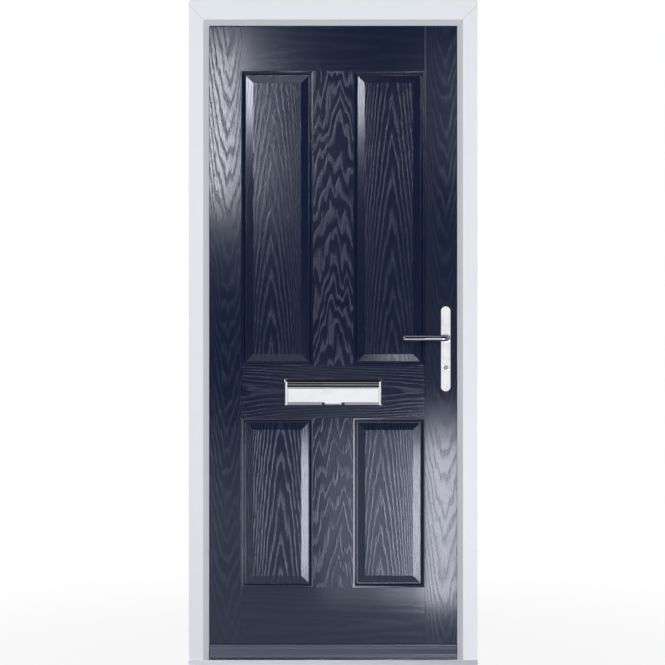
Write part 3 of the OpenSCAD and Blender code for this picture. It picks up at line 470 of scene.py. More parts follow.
@dataclass(frozen=True)
class PressedSkin(Finish):
    """Painted glass-fibre skin with pressed oak figure, fine joint lines and a painted shade line above the
    weather bar.
    """

    deep: Colour = (0.0056, 0.0104, 0.0310, 1.0)
    raised: Colour = (0.0180, 0.0245, 0.0540, 1.0)
    # Colour of the dark joint lines beside the stiles and of the painted shade line above the weather bar.
    shadow: Colour = (0.0030, 0.0045, 0.0130, 1.0)
    mottle_scale: float = 5.0
    mottle_share: float = 0.06
    joint_x: float = 0.2875
    joint_w: float = 0.0011
    foot_z: float = 0.0757
    foot_w: float = 0.0016
    inner_y: float = 0.0105
    dull: float = 0.122
    figure_dull: float = 0.19
    pore_dull: float = 0.06
    ior: float = 1.46
    figure_height: float = 0.9
    fibre_height: float = 0.032
    pore_height: float = -0.026
    joint_height: float = -0.6
    relief: Span = (0.00040, 0.75)

    def lay(self, desk: PaintDesk) -> None:
        """Lays navy paint with lighter ridges, dark joints beside the stiles and painted shade just above the
        weather bar.

        Args:
            desk: The material's desk.
        """
        figure, fibre, pores = desk.group(Effects.woodgrain(), Vector=desk.place)
        mottle = desk.group(Effects.mottle(), Vector=desk.place, Scale=self.mottle_scale)["Mottle"]
        x, y, z = desk.split(desk.place)
        joint = desk.line(desk.math("ABSOLUTE", x), self.joint_x, self.joint_w)
        # Painted shade: the dark line on the outer face just above the weather bar, over the real joint
        # there, stands in for the bar's dark top mirrored in the leaf.
        foot = desk.line(z, self.foot_z, self.foot_w)
        foot = desk.math("MULTIPLY", foot, desk.math("LESS_THAN", y, self.inner_y))
        light = desk.math("MULTIPLY_ADD", mottle, self.mottle_share, figure)
        colour = desk.tint(light, self.deep, self.raised)
        desk.set("Base Color", desk.tint(desk.math("MAXIMUM", joint, foot), colour, self.shadow))
        dull = desk.math("MULTIPLY_ADD", figure, self.figure_dull, self.dull)
        dull = desk.math("MULTIPLY_ADD", pores, self.pore_dull, dull)
        desk.set("Roughness", desk.math("MAXIMUM", dull, foot))
        desk.set("IOR", self.ior)
        ridges = desk.math("MULTIPLY", figure, figure)
        height = desk.math("MULTIPLY", fibre, self.fibre_height)
        shapes = ((ridges, self.figure_height), (pores, self.pore_height), (joint, self.joint_height))
        for shape, up in shapes:
            height = desk.math("MULTIPLY_ADD", shape, up, height)
        desk.set("Normal", desk.bump(height, self.relief))


@dataclass(frozen=True)
class PlainPaint(Finish):
    """The navy paint on plain profiles, lightened as painted light from above."""

    # Painted light: this navy is several times lighter than the pressed skin's, standing in for the light
    # that the weather bar catches from above.
    colour: Colour = (0.0380, 0.0455, 0.0780, 1.0)
    worn: Colour = (0.0780, 0.0870, 0.1310, 1.0)
    line_scale: float = 420.0
    dull: float = 0.24
    line_dull: float = 0.14
    relief: Span = (0.00006, 0.5)

    def lay(self, desk: PaintDesk) -> None:
        """Lays smooth navy with drawn lines along the profile.

        Args:
            desk: The material's desk.
        """
        lines, bands = desk.group(Effects.streaks(), Vector=desk.place, Scale=self.line_scale)
        desk.set("Base Color", self.tone(desk, bands))
        desk.set("Roughness", desk.math("MULTIPLY_ADD", lines, self.line_dull, self.dull))
        desk.set("Normal", desk.bump(lines, self.relief))

    def tone(self, desk: PaintDesk, bands: bpy.types.NodeSocket) -> bpy.types.NodeSocket:
        """Returns the paint's colour, which wears lighter in broad bands."""
        return desk.tint(bands, self.colour, self.worn)


@dataclass(frozen=True)
class BeadedPaint(PlainPaint):
    """Plain navy with a painted highlight along the beads of a bar."""

    # Painted highlight: the lighter colour of the lines where the beads catch the light.
    painted_bead_highlight: Colour = (0.150, 0.164, 0.230, 1.0)
    bead_z: Span = (0.0645, 0.0415)
    bead_w: float = 0.0017
    bead_core: float = 1 / 3
    highlight_break_stretch: Point = (6.0, 1.0, 1.0)
    highlight_break_scale: float = 3.0
    highlight_break_rise: Fade = (0.2, 0.6, 0.6, 1.0)

    def tone(self, desk: PaintDesk, bands: bpy.types.NodeSocket) -> bpy.types.NodeSocket:
        """Adds a painted highlight, a lighter broken line at each bead's height, to the plain paint.

        Args:
            desk: The material's desk.
            bands: Where the paint is worn.

        Returns:
            The colour.
        """
        colour = super().tone(desk, bands)
        height = desk.split(desk.place)[2]
        # Painted highlight: a lighter line at each bead's height, broken up by noise.
        highlight_break = desk.noise(desk.stretch(desk.place, self.highlight_break_stretch), self.highlight_break_scale)
        highlight_break = desk.ramp(highlight_break, *self.highlight_break_rise)
        for z in self.bead_z:
            line = desk.line(height, z, self.bead_w, self.bead_core)
            colour = desk.tint(desk.math("MULTIPLY", line, highlight_break), colour, self.painted_bead_highlight)
        return colour


@dataclass(frozen=True)
class WhiteProfile(Finish):
    """White frame profile with a fine foil grain, painted shade on the chamfers and faint welded mitres."""

    colour: Colour = (0.800, 0.825, 0.860, 1.0)
    shade: Colour = (0.735, 0.760, 0.800, 1.0)
    weld: Colour = (0.560, 0.585, 0.630, 1.0)
    # Painted shade: the greyer colour of the inward-sloping chamfers, standing in for the shade they catch.
    slope: Colour = (0.580, 0.600, 0.634, 1.0)
    chamfer_shade_in: float = 0.045
    chamfer_shade_fade: float = 0.00025
    side_x: float = 0.450
    head_z: float = 2.072
    mitre_z: float = 2.009
    weld_w: float = 0.0016
    weld_height: float = -2.0
    mottle_scale: float = 9.0
    mottle_share: float = 0.55
    speck_share: float = 0.10
    dull: float = 0.52
    fine_dull: float = 0.12
    relief: Span = (0.00005, 0.5)

    def lay(self, desk: PaintDesk) -> None:
        """Lays white foil with mottling, specks, painted shade on the chamfers and the weld line of both
        upper corners.

        Args:
            desk: The material's desk.
        """
        mottle, fine, specks = desk.group(Effects.mottle(), Vector=desk.place, Scale=self.mottle_scale)
        x, _, z = desk.split(desk.place)
        inwards = desk.math("SUBTRACT", self.side_x, desk.math("ABSOLUTE", x))
        down = desk.math("SUBTRACT", self.head_z, z)
        weld = desk.line(inwards, down, self.weld_w)
        weld = desk.math("MULTIPLY", weld, desk.math("GREATER_THAN", z, self.mitre_z))
        # Painted shade: the band of the chamfer beside the sight line is greyed.
        painted_chamfer_shade = desk.ramp(desk.math("MINIMUM", inwards, down),
                            self.chamfer_shade_in - self.chamfer_shade_fade, self.chamfer_shade_in + self.chamfer_shade_fade)
        colour = desk.tint(desk.math("MULTIPLY", mottle, self.mottle_share), self.colour, self.shade)
        colour = desk.tint(desk.math("MULTIPLY", specks, self.speck_share), colour, self.weld)
        colour = desk.tint(painted_chamfer_shade, colour, self.slope)
        desk.set("Base Color", desk.tint(weld, colour, self.weld))
        desk.set("Roughness", desk.math("MULTIPLY_ADD", fine, self.fine_dull, self.dull))
        desk.set("Normal", desk.bump(desk.math("MULTIPLY_ADD", weld, self.weld_height, fine), self.relief))


@dataclass(frozen=True)
class BrightPlate(Finish):
    """Polished plated metal with faint smears."""

    colour: Colour = (0.88, 0.89, 0.91, 1.0)
    smeared: Colour = (0.85, 0.86, 0.88, 1.0)
    mottle_scale: float = 18.0
    smear_rise: Span = (0.45, 0.75)
    dull: float = 0.035
    smear_dull: float = 0.02
    speck_dull: float = 0.02
    relief: Span = (0.000002, 0.10)

    def lay(self, desk: PaintDesk) -> None:
        """Lays bright metal whose gloss varies with smears and specks.

        Args:
            desk: The material's desk.
        """
        mottle, fine, specks = desk.group(Effects.mottle(), Vector=desk.place, Scale=self.mottle_scale)
        smear = desk.ramp(mottle, *self.smear_rise)
        dull = desk.math("MULTIPLY_ADD", smear, self.smear_dull, self.dull)
        desk.set("Metallic", 1.0)
        desk.set("Base Color", self.tone(desk, smear))
        desk.set("Roughness", desk.math("MULTIPLY_ADD", specks, self.speck_dull, dull))
        desk.set("Normal", desk.bump(fine, self.relief))

    def tone(self, desk: PaintDesk, smear: bpy.types.NodeSocket) -> bpy.types.NodeSocket:
        """Returns the metal's colour, duller where it is smeared."""
        return desk.tint(smear, self.colour, self.smeared)


@dataclass(frozen=True)
class ShadedGripPlate(BrightPlate):
    """Polished plated metal with painted shade underneath, darker where it faces down."""

    # Painted shade: the dark colour of the faces that look down, standing in for the shade under the grip.
    painted_underside_shade: Colour = (0.070, 0.074, 0.090, 1.0)
    underside_shade_facing: Span = (-0.46, -0.34)

    def tone(self, desk: PaintDesk, smear: bpy.types.NodeSocket) -> bpy.types.NodeSocket:
        """Returns the metal's colour, darkened by painted shade where it faces down."""
        underside_shade = desk.ramp(desk.split(desk.facing)[2], *self.underside_shade_facing, 1.0, 0.0)
        return desk.tint(underside_shade, super().tone(desk, smear), self.painted_underside_shade)


@dataclass(frozen=True)
class ShadedStripPlate(BrightPlate):
    """Polished plated metal with painted shade on the strips along its foot and on its hood."""

    # Painted shade: the grey that stands in for the dimmer reflections of the raked foot strips and the hood.
    painted_strip_shade: Colour = (0.370, 0.370, 0.385, 1.0)
    foot_z: float = 0.8327
    hood_z: float = 0.8870
    side_x: float = 0.1433

    def tone(self, desk: PaintDesk, smear: bpy.types.NodeSocket) -> bpy.types.NodeSocket:
        """Greys the foot strips and the hood between the end bars with painted shade.

        Args:
            desk: The material's desk.
            smear: How smeared the surface is.

        Returns:
            The colour.
        """
        x, _, z = desk.split(desk.place)
        low = desk.math("LESS_THAN", z, self.foot_z)
        high = desk.math("GREATER_THAN", z, self.hood_z)
        inside = desk.math("LESS_THAN", desk.math("ABSOLUTE", x), self.side_x)
        # Painted shade on the foot strips and the hood.
        strips = desk.math("MULTIPLY", desk.math("MAXIMUM", low, high), inside)
        return desk.tint(strips, super().tone(desk, smear), self.painted_strip_shade)


@dataclass(frozen=True)
class DrawnMetal(Finish):
    """Drawn or rolled metal with lines along X, or along Z where the piece stands upright."""

    colour: Colour
    dark: Colour
    dull: float
    upright: bool = False
    line_scale: float = 900.0
    line_dull: float = 0.16
    relief: Span = (0.00003, 0.4)

    def lay(self, desk: PaintDesk) -> None:
        """Lays metal with fine lines and broad darker bands.

        Args:
            desk: The material's desk.
        """
        place = desk.upright(desk.place) if self.upright else desk.place
        lines, bands = desk.group(Effects.streaks(), Vector=place, Scale=self.line_scale)
        desk.set("Metallic", 1.0)
        desk.set("Base Color", desk.tint(bands, self.colour, self.dark))
        desk.set("Roughness", desk.math("MULTIPLY_ADD", lines, self.line_dull, self.dull))
        desk.set("Normal", desk.bump(lines, self.relief))


@dataclass(frozen=True)
class Moulded(Finish):
    """Moulded rubber, plastic or foam."""

    colour: Colour
    worn: Colour
    dull: float
    scale: float
    relief: Span
    worn_rise: Span = (0.35, 0.70)
    speck_share: float = 0.4
    fine_dull: float = 0.2

    def lay(self, desk: PaintDesk) -> None:
        """Lays a mottled dull surface with a fine moulded grain.

        Args:
            desk: The material's desk.
        """
        mottle, fine, specks = desk.group(Effects.mottle(), Vector=desk.place, Scale=self.scale)
        colour = desk.tint(desk.ramp(mottle, *self.worn_rise), self.colour, self.worn)
        desk.set("Base Color", desk.tint(desk.math("MULTIPLY", specks, self.speck_share), colour, self.worn))
        desk.set("Roughness", desk.math("MULTIPLY_ADD", fine, self.fine_dull, self.dull))
        desk.set("Normal", desk.bump(fine, self.relief))


@dataclass(frozen=True)
class PlanedTimber(Finish):
    """Laminated softwood, planed, with its grain along Z."""

    early: Colour = (0.50, 0.33, 0.18, 1.0)
    late: Colour = (0.30, 0.17, 0.08, 1.0)
    line_scale: float = 330.0
    band_rise: Span = (0.42, 0.62)
    line_rise: Span = (0.35, 0.60)
    dull: float = 0.45
    line_dull: float = 0.2
    relief: Span = (0.0001, 0.4)

    def lay(self, desk: PaintDesk) -> None:
        """Lays growth rings and fibres.

        Args:
            desk: The material's desk.
        """
        lines, bands = desk.group(Effects.streaks(), Vector=desk.upright(desk.place), Scale=self.line_scale)
        late = desk.math("MULTIPLY", desk.ramp(bands, *self.band_rise), desk.ramp(lines, *self.line_rise))
        desk.set("Base Color", desk.tint(late, self.early, self.late))
        desk.set("Roughness", desk.math("MULTIPLY_ADD", lines, self.line_dull, self.dull))
        desk.set("Normal", desk.bump(lines, self.relief))


class Workpiece:
    """A mesh that is modelled with Blender's own operators, as by hand."""

    FLAT_WEIGHT = 80

    def __init__(self, name: str, start: Step) -> None:
        """Starts from a primitive and applies its place.

        Args:
            name: The piece's name.
            start: Call that adds the primitive.
        """
        bpy.ops.object.select_all(action="DESELECT")
        start()
        self.obj = bpy.context.active_object
        self._name(name)
        self._apply_place()

    @classmethod
    def block(cls, name: str, low: Point, high: Point) -> "Workpiece":
        """Starts from a cube drawn out between two corners.

        Args:
            name: The piece's name.
            low: Lowest corner.
            high: Highest corner.

        Returns:
            The block.
        """
        middle = [(a + b) / 2 for a, b in zip(low, high)]
        size = [b - a for a, b in zip(low, high)]
        return cls(name, lambda: bpy.ops.mesh.primitive_cube_add(size=1.0, location=middle, scale=size))

    @classmethod
    def sheet(cls, name: str, low: Span, high: Span, y: float) -> "Workpiece":
        """Starts from an upright plane that faces outwards.

        Args:
            name: The piece's name.
            low: Lowest corner in X and Z.
            high: Highest corner in X and Z.
            y: Its depth.

        Returns:
            The sheet.
        """
        middle = ((low[0] + high[0]) / 2, y, (low[1] + high[1]) / 2)
        size = (high[0] - low[0], high[1] - low[1], 1.0)

        def start() -> None:
            """Adds the plane at its size."""
            bpy.ops.mesh.primitive_plane_add(size=1.0, location=middle, rotation=(QUARTER_TURN, 0.0, 0.0))
            bpy.context.active_object.scale = size

        return cls(name, start)

    @classmethod
    def disc(cls, name: str, middle: Point, radius: float, sides: int = 40) -> "Workpiece":
        """Starts from an upright filled circle that faces outwards and returns it."""
        return cls(name, lambda: bpy.ops.mesh.primitive_circle_add(
            vertices=sides, radius=radius, fill_type="NGON", location=middle,
            rotation=(QUARTER_TURN, 0.0, 0.0)))

    @classmethod
    def rod(cls, name: str, middle: Point, radius: float, length: float, sides: int = 28) -> "Workpiece":
        """Starts from a cylinder along X and returns it."""
        return cls(name, lambda: bpy.ops.mesh.primitive_cylinder_add(
            vertices=sides, radius=radius, depth=length, location=middle, rotation=(0.0, QUARTER_TURN, 0.0)))

    @staticmethod
    def drawn(by: Point) -> Step:
        """Returns the step that draws the chosen faces out by a vector."""
        return lambda: bpy.ops.mesh.extrude_region_move(TRANSFORM_OT_translate={"value": by})

    @staticmethod
    def moved(by: Point) -> Step:
        """Returns the step that moves what is chosen by a vector."""
        return lambda: bpy.ops.transform.translate(value=by)

    @staticmethod
    def inset(inwards: float, up: float) -> Step:
        """Returns the step that insets the chosen faces and raises them, both in millimetres."""
        return lambda: bpy.ops.mesh.inset(thickness=inwards * MM, depth=up * MM, use_even_offset=True)

    def _name(self, name: str) -> None:
        """Names the object and its mesh."""
        self.obj.name = name
        self.obj.data.name = name

    def _apply_place(self) -> None:
        """Moves the object's place, turn and size into its mesh."""
        bpy.ops.object.transform_apply(location=True, rotation=True, scale=True)

    def _activate(self) -> None:
        """Leaves this piece as the only one that operators act on."""
        bpy.ops.object.select_all(action="DESELECT")
        self.obj.select_set(True)
        bpy.context.view_layer.objects.active = self.obj

    @contextmanager
    def _editing(self, mode: str) -> Iterator[None]:
        """Opens edit mode, and closes it again.

        Args:
            mode: What operators act on: VERT, EDGE or FACE.
        """
        self._activate()
        bpy.context.tool_settings.mesh_select_mode = tuple(mode == kind for kind in ("VERT", "EDGE", "FACE"))
        bpy.ops.object.mode_set(mode="EDIT")
        yield
        bpy.ops.object.mode_set(mode="OBJECT")

    def _clear(self) -> None:
        """Takes the selection off every vertex, edge and face."""
        mesh = self.obj.data
        for items in (mesh.vertices, mesh.edges, mesh.polygons):
            items.foreach_set("select", [False] * len(items))

    def on_faces(self, test: FaceTest, *steps: Step) -> None:
        """Runs operators on some faces.

        Args:
            test: Says from a face's middle and normal whether it is taken.
            steps: Operator calls, in order.
        """
        self._clear()
        for face in self.obj.data.polygons:
            face.select = test(face.center, face.normal)
        self._run("FACE", steps)

    def on_edges(self, test: EdgeTest, *steps: Step) -> None:
        """Runs operators on some edges.

        Args:
            test: Says from an edge's two ends whether it is taken.
            steps: Operator calls, in order.
        """
        self._clear()
        points = self.obj.data.vertices
        for edge in self.obj.data.edges:
            edge.select = test(points[edge.vertices[0]].co, points[edge.vertices[1]].co)
        self._run("EDGE", steps)

    def on_points(self, test: PointTest, *steps: Step) -> None:
        """Runs operators on some vertices.

        Args:
            test: Says from a vertex's place whether it is taken.
            steps: Operator calls, in order.
        """
        self._clear()
        for point in self.obj.data.vertices:
            point.select = test(point.co)
        self._run("VERT", steps)

    def _run(self, mode: str, steps: Sequence[Step]) -> None:
        """Runs operator calls in one spell of edit mode.

        Args:
            mode: What they act on: VERT, EDGE or FACE.
            steps: Operator calls, in order.
        """
        with self._editing(mode):
            for step in steps:
                step()

    def cut(self, points: Sequence[Point], normal: Point, test: FaceTest = every_face) -> None:
        """Bisects the piece, or only some of its faces, along parallel planes.

        Args:
            points: A point on each plane.
            normal: The planes' normal.
            test: Says which faces are cut.
        """
        for point in points:
            self.on_faces(test, lambda: bpy.ops.mesh.bisect(plane_co=point, plane_no=normal))

    def cap(self, y: float) -> None:
        """Closes the open ring of edges that lies at a depth."""
        self.on_edges(lambda a, b: abs(a.y - y) < NEAR and abs(b.y - y) < NEAR,
                      lambda: bpy.ops.mesh.edge_face_add())

    def modify(self, kind: str, **settings: object) -> None:
        """Adds a modifier and applies it.

        Args:
            kind: Blender's name of the modifier type.
            settings: Values for its properties.
        """
        self._activate()
        modifier = self.obj.modifiers.new(kind.lower(), kind)
        for key, value in settings.items():
            setattr(modifier, key, value)
        bpy.ops.object.modifier_apply(modifier=modifier.name)

    def soften(self, width: float, segments: int = 3, angle: float = 30.0) -> None:
        """Rounds the edges that turn by more than an angle, and shades the piece smooth.

        Args:
            width: Width of the rounding.
            segments: Faces across it.
            angle: Least turn in degrees.
        """
        self.modify("BEVEL", width=width, segments=segments, limit_method="ANGLE",
                    angle_limit=math.radians(angle))
        self.shade()

    def shade(self, angle: float = 32.0) -> None:
        """Shades the piece smooth and keeps broad faces flat.

        Args:
            angle: Least turn in degrees of an edge that stays sharp.
        """
        self._activate()
        bpy.ops.object.shade_smooth_by_angle(angle=math.radians(angle))
        self.modify("WEIGHTED_NORMAL", mode="FACE_AREA", weight=self.FLAT_WEIGHT, keep_sharp=True)

    def close_up(self) -> None:
        """Merges doubled points and turns all faces outwards."""
        self.on_faces(every_face,
                      lambda: bpy.ops.mesh.remove_doubles(threshold=MERGE_WITHIN),
                      lambda: bpy.ops.mesh.normals_make_consistent(inside=False))

    def join(self, *others: "Workpiece") -> None:
        """Takes other pieces into this one.

        Args:
            others: The pieces.
        """
        self._activate()
        for other in others:
            other.obj.select_set(True)
        bpy.ops.object.join()

    def _twin(self, name: str, mid_y: float, turn: float, scale: Point) -> "Workpiece":
        """Copies the piece, with its own mesh, to the other face of the leaf.

        Args:
            name: The copy's name.
            mid_y: Depth of the leaf's middle.
            turn: Turn about the upright line at X 0.
            scale: Scale along each axis.

        Returns:
            The copy.
        """
        twin = object.__new__(Workpiece)
        twin.obj = self.obj.copy()
        twin.obj.data = self.obj.data.copy()
        bpy.context.collection.objects.link(twin.obj)
        twin._name(name)
        twin.obj.rotation_euler = (0.0, 0.0, turn)
        twin.obj.scale = scale
        twin.obj.location = (0.0, 2 * mid_y, 0.0)
        twin._activate()
        twin._apply_place()
        return twin

    def turned(self, name: str, mid_y: float) -> "Workpiece":
        """Returns a copy turned half round to the other face of the leaf."""
        return self._twin(name, mid_y, math.pi, (1.0, 1.0, 1.0))

    def mirrored(self, name: str, mid_y: float) -> "Workpiece":
        """Mirrors the piece to the other face of the leaf.

        Args:
            name: The copy's name.
            mid_y: Depth of the leaf's middle.

        Returns:
            The mirrored copy.
        """
        twin = self._twin(name, mid_y, 0.0, (1.0, -1.0, 1.0))
        twin.close_up()
        twin.shade()
        return twin

    def place(self, body: str, slot: str, finish: Finish, *nodes: str) -> None:
        """Hands the piece to the frame.

        Args:
            body: Body that it rides on.
            slot: Material slot of the record; not used.
            finish: Its finish.
            nodes: Solids that it stands for.
        """
        finish.dress(self.obj)
        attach(self.obj, body)
        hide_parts(*nodes)
        LOG.info("%s: %d faces, rides on %s", self.obj.name, len(self.obj.data.polygons), body)


class Figure(Enum):
    """Run of oak grain: rings per metre along, their curve and slope across, their drift and their folds."""

    PEAKS_UP = (9.0, 620.0, 30.0, 2.2, 0.0)
    PEAKS_DOWN = (-13.0, 760.0, 15.0, 3.6, 1.5)
    WILD = (13.0, 250.0, 6.0, 3.0, 3.0)
    LYING = (6.0, 700.0, 22.0, 3.5, 0.8)
    FAINT = (2.0, 420.0, 12.0, 2.4, 0.0)


@dataclass(frozen=True)
class Grain:
    """One board's grain: its figure, seed and strength, how far its heart lies aside and whether it lies."""

    figure: Figure
    seed: float
    strength: float
    heart: float = 0.0
    lying: bool = False


@dataclass(frozen=True)
class Zone:
    """One board of the leaf's face: its reach in X, its reach in Z and its grain."""

    x: Span
    z: Span
    grain: Grain

    def holds(self, x: float, z: float) -> bool:
        """Says whether a point of the face lies in this zone."""
        return self.x[0] <= x <= self.x[1] and self.z[0] <= z <= self.z[1]

    def middle(self) -> Span:
        """Returns the heart of the zone's figure in X and Z."""
        return sum(self.x) / 2 + self.grain.heart, sum(self.z) / 2


@dataclass
class LeafFaces:
    """The two pressed skins of the leaf with their four raised panels each.

    The moulding, from lip to crest, is in millimetres. The lip runs inwards and down from the panel's
    edge, and the crest from the field's edge and its level. Grains of panels and mullions are the
    lower one and the upper one, and grains of rails go from the foot to the top.
    """

    half_w: float = 0.397
    foot_z: float = 0.034
    top_z: float = 2.019
    outer_y: float = -0.0115
    mid_y: float = 0.0105
    skin_t: float = 0.003
    panel_in: float = 0.0625
    panel_out: float = 0.2875
    lower: Span = (0.252, 0.783)
    upper: Span = (0.946, 1.870)
    slot_half_w: float = 0.128
    slot_z: Span = (0.8358, 0.8698)
    lip: Outline = ((0.0, 0.0), (0.45, 0.0), (0.9, 0.05), (1.8, 0.18), (3.9, 0.78), (4.6, 1.2))
    ogee_w: float = 13.0
    ogee_steps: int = 16
    groove_d: float = 9.0
    groove_w: float = 2.0
    bevel_w: float = 22.0
    field_drop: float = 2.0
    crest: Outline = ((-0.9, 1.02), (0.0, 0.8), (0.20, 0.22), (0.55, 0.04), (1.1, 0.0), (2.0, 0.0))
    smooth_angle: float = 15.0
    stile_grain: tuple[Grain, ...] = (Grain(Figure.PEAKS_DOWN, 0.3, 0.40, 0.012),
                                      Grain(Figure.PEAKS_DOWN, 2.3, 0.40, 0.012))
    mullion_grain: tuple[Grain, ...] = (Grain(Figure.WILD, 4.1, 1.25, 0.01),
                                        Grain(Figure.WILD, 5.1, 1.25, 0.01))
    left_grain: tuple[Grain, ...] = (Grain(Figure.PEAKS_UP, 6.7, 1.1, 0.012),
                                     Grain(Figure.PEAKS_UP, 7.7, 0.75, -0.018))
    right_grain: tuple[Grain, ...] = (Grain(Figure.PEAKS_UP, 8.9, 1.15, -0.03),
                                      Grain(Figure.PEAKS_UP, 9.9, 0.62, 0.01))
    rail_grain: tuple[Grain, ...] = (Grain(Figure.FAINT, 11.3, 0.25, lying=True),
                                     Grain(Figure.LYING, 12.3, 0.6, lying=True),
                                     Grain(Figure.FAINT, 13.3, 0.16, lying=True))
    moulding_share: float = 0.22
    bevel_share: float = 0.55
    finish: PressedSkin = PressedSkin("navy_pressed_skin")

    def build(self) -> None:
        """Models the outer skin, turns a copy for the inner one, and dresses both."""
        outer = self._sheet()
        inner = outer.turned("inner_leaf_face", self.mid_y)
        for piece, node in ((outer, "outer_skin"), (inner, "inner_skin")):
            piece.modify("SOLIDIFY", thickness=self.skin_t, offset=-1.0, use_even_offset=True)
            piece.shade(self.smooth_angle)
            self._lay_zones(piece.obj.data)
            piece.place("leaf", "leaf_navy", self.finish, node)

    def _sheet(self) -> Workpiece:
        """Models the outer face.

        Returns:
            One sheet with sunk and raised panels and the letter opening.
        """
        sheet = Workpiece.sheet("outer_leaf_face", (-self.half_w, self.foot_z), (self.half_w, self.top_z),
                                self.outer_y)
        across, up = (1.0, 0.0, 0.0), (0.0, 0.0, 1.0)
        sheet.cut([(side * x, 0.0, 0.0) for side in (-1, 1) for x in (self.panel_in, self.panel_out)], across)
        sheet.cut([(0.0, 0.0, z) for z in (*self.lower, *self.upper)], up)
        in_rail = self._between(self.panel_out, (self.lower[1], self.upper[0]))
        sheet.cut([(0.0, 0.0, z) for z in self.slot_z], up, in_rail)
        in_band = self._between(self.panel_out, self.slot_z)
        sheet.cut([(side * self.slot_half_w, 0.0, 0.0) for side in (-1, 1)], across, in_band)
        sheet.on_faces(self._between(self.slot_half_w, self.slot_z), lambda: bpy.ops.mesh.delete(type="FACE"))
        profile = self._profile()
        steps = [Workpiece.inset(b[0] - a[0], a[1] - b[1]) for a, b in zip(profile, profile[1:])]
        sheet.on_faces(lambda middle, facing: self._in_panel(middle.x, middle.z), *steps)
        return sheet

    def _between(self, half_w: float, heights: Span) -> FaceTest:
        """Returns a test for faces inside a band of the leaf."""
        return lambda middle, facing: abs(middle.x) < half_w and heights[0] < middle.z < heights[1]

    def _in_panel(self, x: float, z: float) -> bool:
        """Says whether a point lies in one of the four panels."""
        tall = self.lower[0] < z < self.lower[1] or self.upper[0] < z < self.upper[1]
        return tall and self.panel_in < abs(x) < self.panel_out

    def _profile(self) -> list[Span]:
        """Works out the moulding.

        Returns:
            Its points from the panel's edge, as millimetres inwards and millimetres down.
        """
        lip_w, lip_d = self.lip[-1]
        turns = [math.pi * i / self.ogee_steps for i in range(1, self.ogee_steps + 1)]
        ogee = [(lip_w + (self.ogee_w - lip_w) * turn / math.pi,
                 lip_d + (self.groove_d - lip_d) * (1 - math.cos(turn)) / 2) for turn in turns]
        foot = self.ogee_w + self.groove_w
        top = foot + self.bevel_w
        crest = [(top + inwards, self.field_drop + down) for inwards, down in self.crest]
        return [*self.lip, *ogee, (foot, self.groove_d), *crest]

    def _zones(self) -> list[Zone]:
        """Lays out the boards of one face.

        Returns:
            Two stiles, two mullions, four panels and three rails.
        """
        full = (self.foot_z, self.top_z)
        zones = [Zone((-self.half_w, -self.panel_out), full, self.stile_grain[0]),
                 Zone((self.panel_out, self.half_w), full, self.stile_grain[1])]
        columns = (((-self.panel_in, self.panel_in), self.mullion_grain),
                   ((-self.panel_out, -self.panel_in), self.left_grain),
                   ((self.panel_in, self.panel_out), self.right_grain))
        for reach, grains in columns:
            zones += [Zone(reach, heights, grain) for heights, grain in zip((self.lower, self.upper), grains)]
        rails = ((self.foot_z, self.lower[0]), (self.lower[1], self.upper[0]), (self.upper[1], self.top_z))
        zones += [Zone((-self.panel_out, self.panel_out), heights, grain)
                  for heights, grain in zip(rails, self.rail_grain)]
        return zones

    def _lay_zones(self, mesh: bpy.types.Mesh) -> None:
        """Writes each face's zone into the attributes that the grain reads.

        Args:
            mesh: The skin's mesh.
        """
        zones = self._zones()
        vectors: dict[str, list[float]] = {ZONE_PLACE: [], ZONE_FIGURE: [], ZONE_MANNER: []}
        folds: list[float] = []
        for face in mesh.polygons:
            x, z = face.center.x, face.center.z
            zone = next((item for item in zones if item.holds(x, z)), zones[0])
            grain = zone.grain
            along, curve, slope, drift, fold = grain.figure.value
            vectors[ZONE_PLACE] += (*zone.middle(), grain.seed)
            vectors[ZONE_FIGURE] += (along, curve, drift)
            vectors[ZONE_MANNER] += (float(grain.lying), grain.strength * self._share(x, z), slope)
            folds.append(fold)
        for name, values in vectors.items():
            mesh.attributes.new(name, "FLOAT_VECTOR", "FACE").data.foreach_set("vector", values)
        mesh.attributes.new(ZONE_FOLD, "FLOAT", "FACE").data.foreach_set("value", folds)

    def _share(self, x: float, z: float) -> float:
        """Says how strongly the grain shows at a point.

        Args:
            x: The point's X.
            z: The point's Z.

        Returns:
            The share: least in the moulding, more on the bevel and 1 elsewhere.
        """
        if not self._in_panel(x, z):
            return 1.0
        heights = self.lower if z < self.lower[1] else self.upper
        inside = min(abs(x) - self.panel_in, self.panel_out - abs(x), z - heights[0], heights[1] - z) / MM
        foot = self.ogee_w + self.groove_w
        if inside < foot:
            return self.moulding_share
        return self.bevel_share if inside < foot + self.bevel_w else 1.0


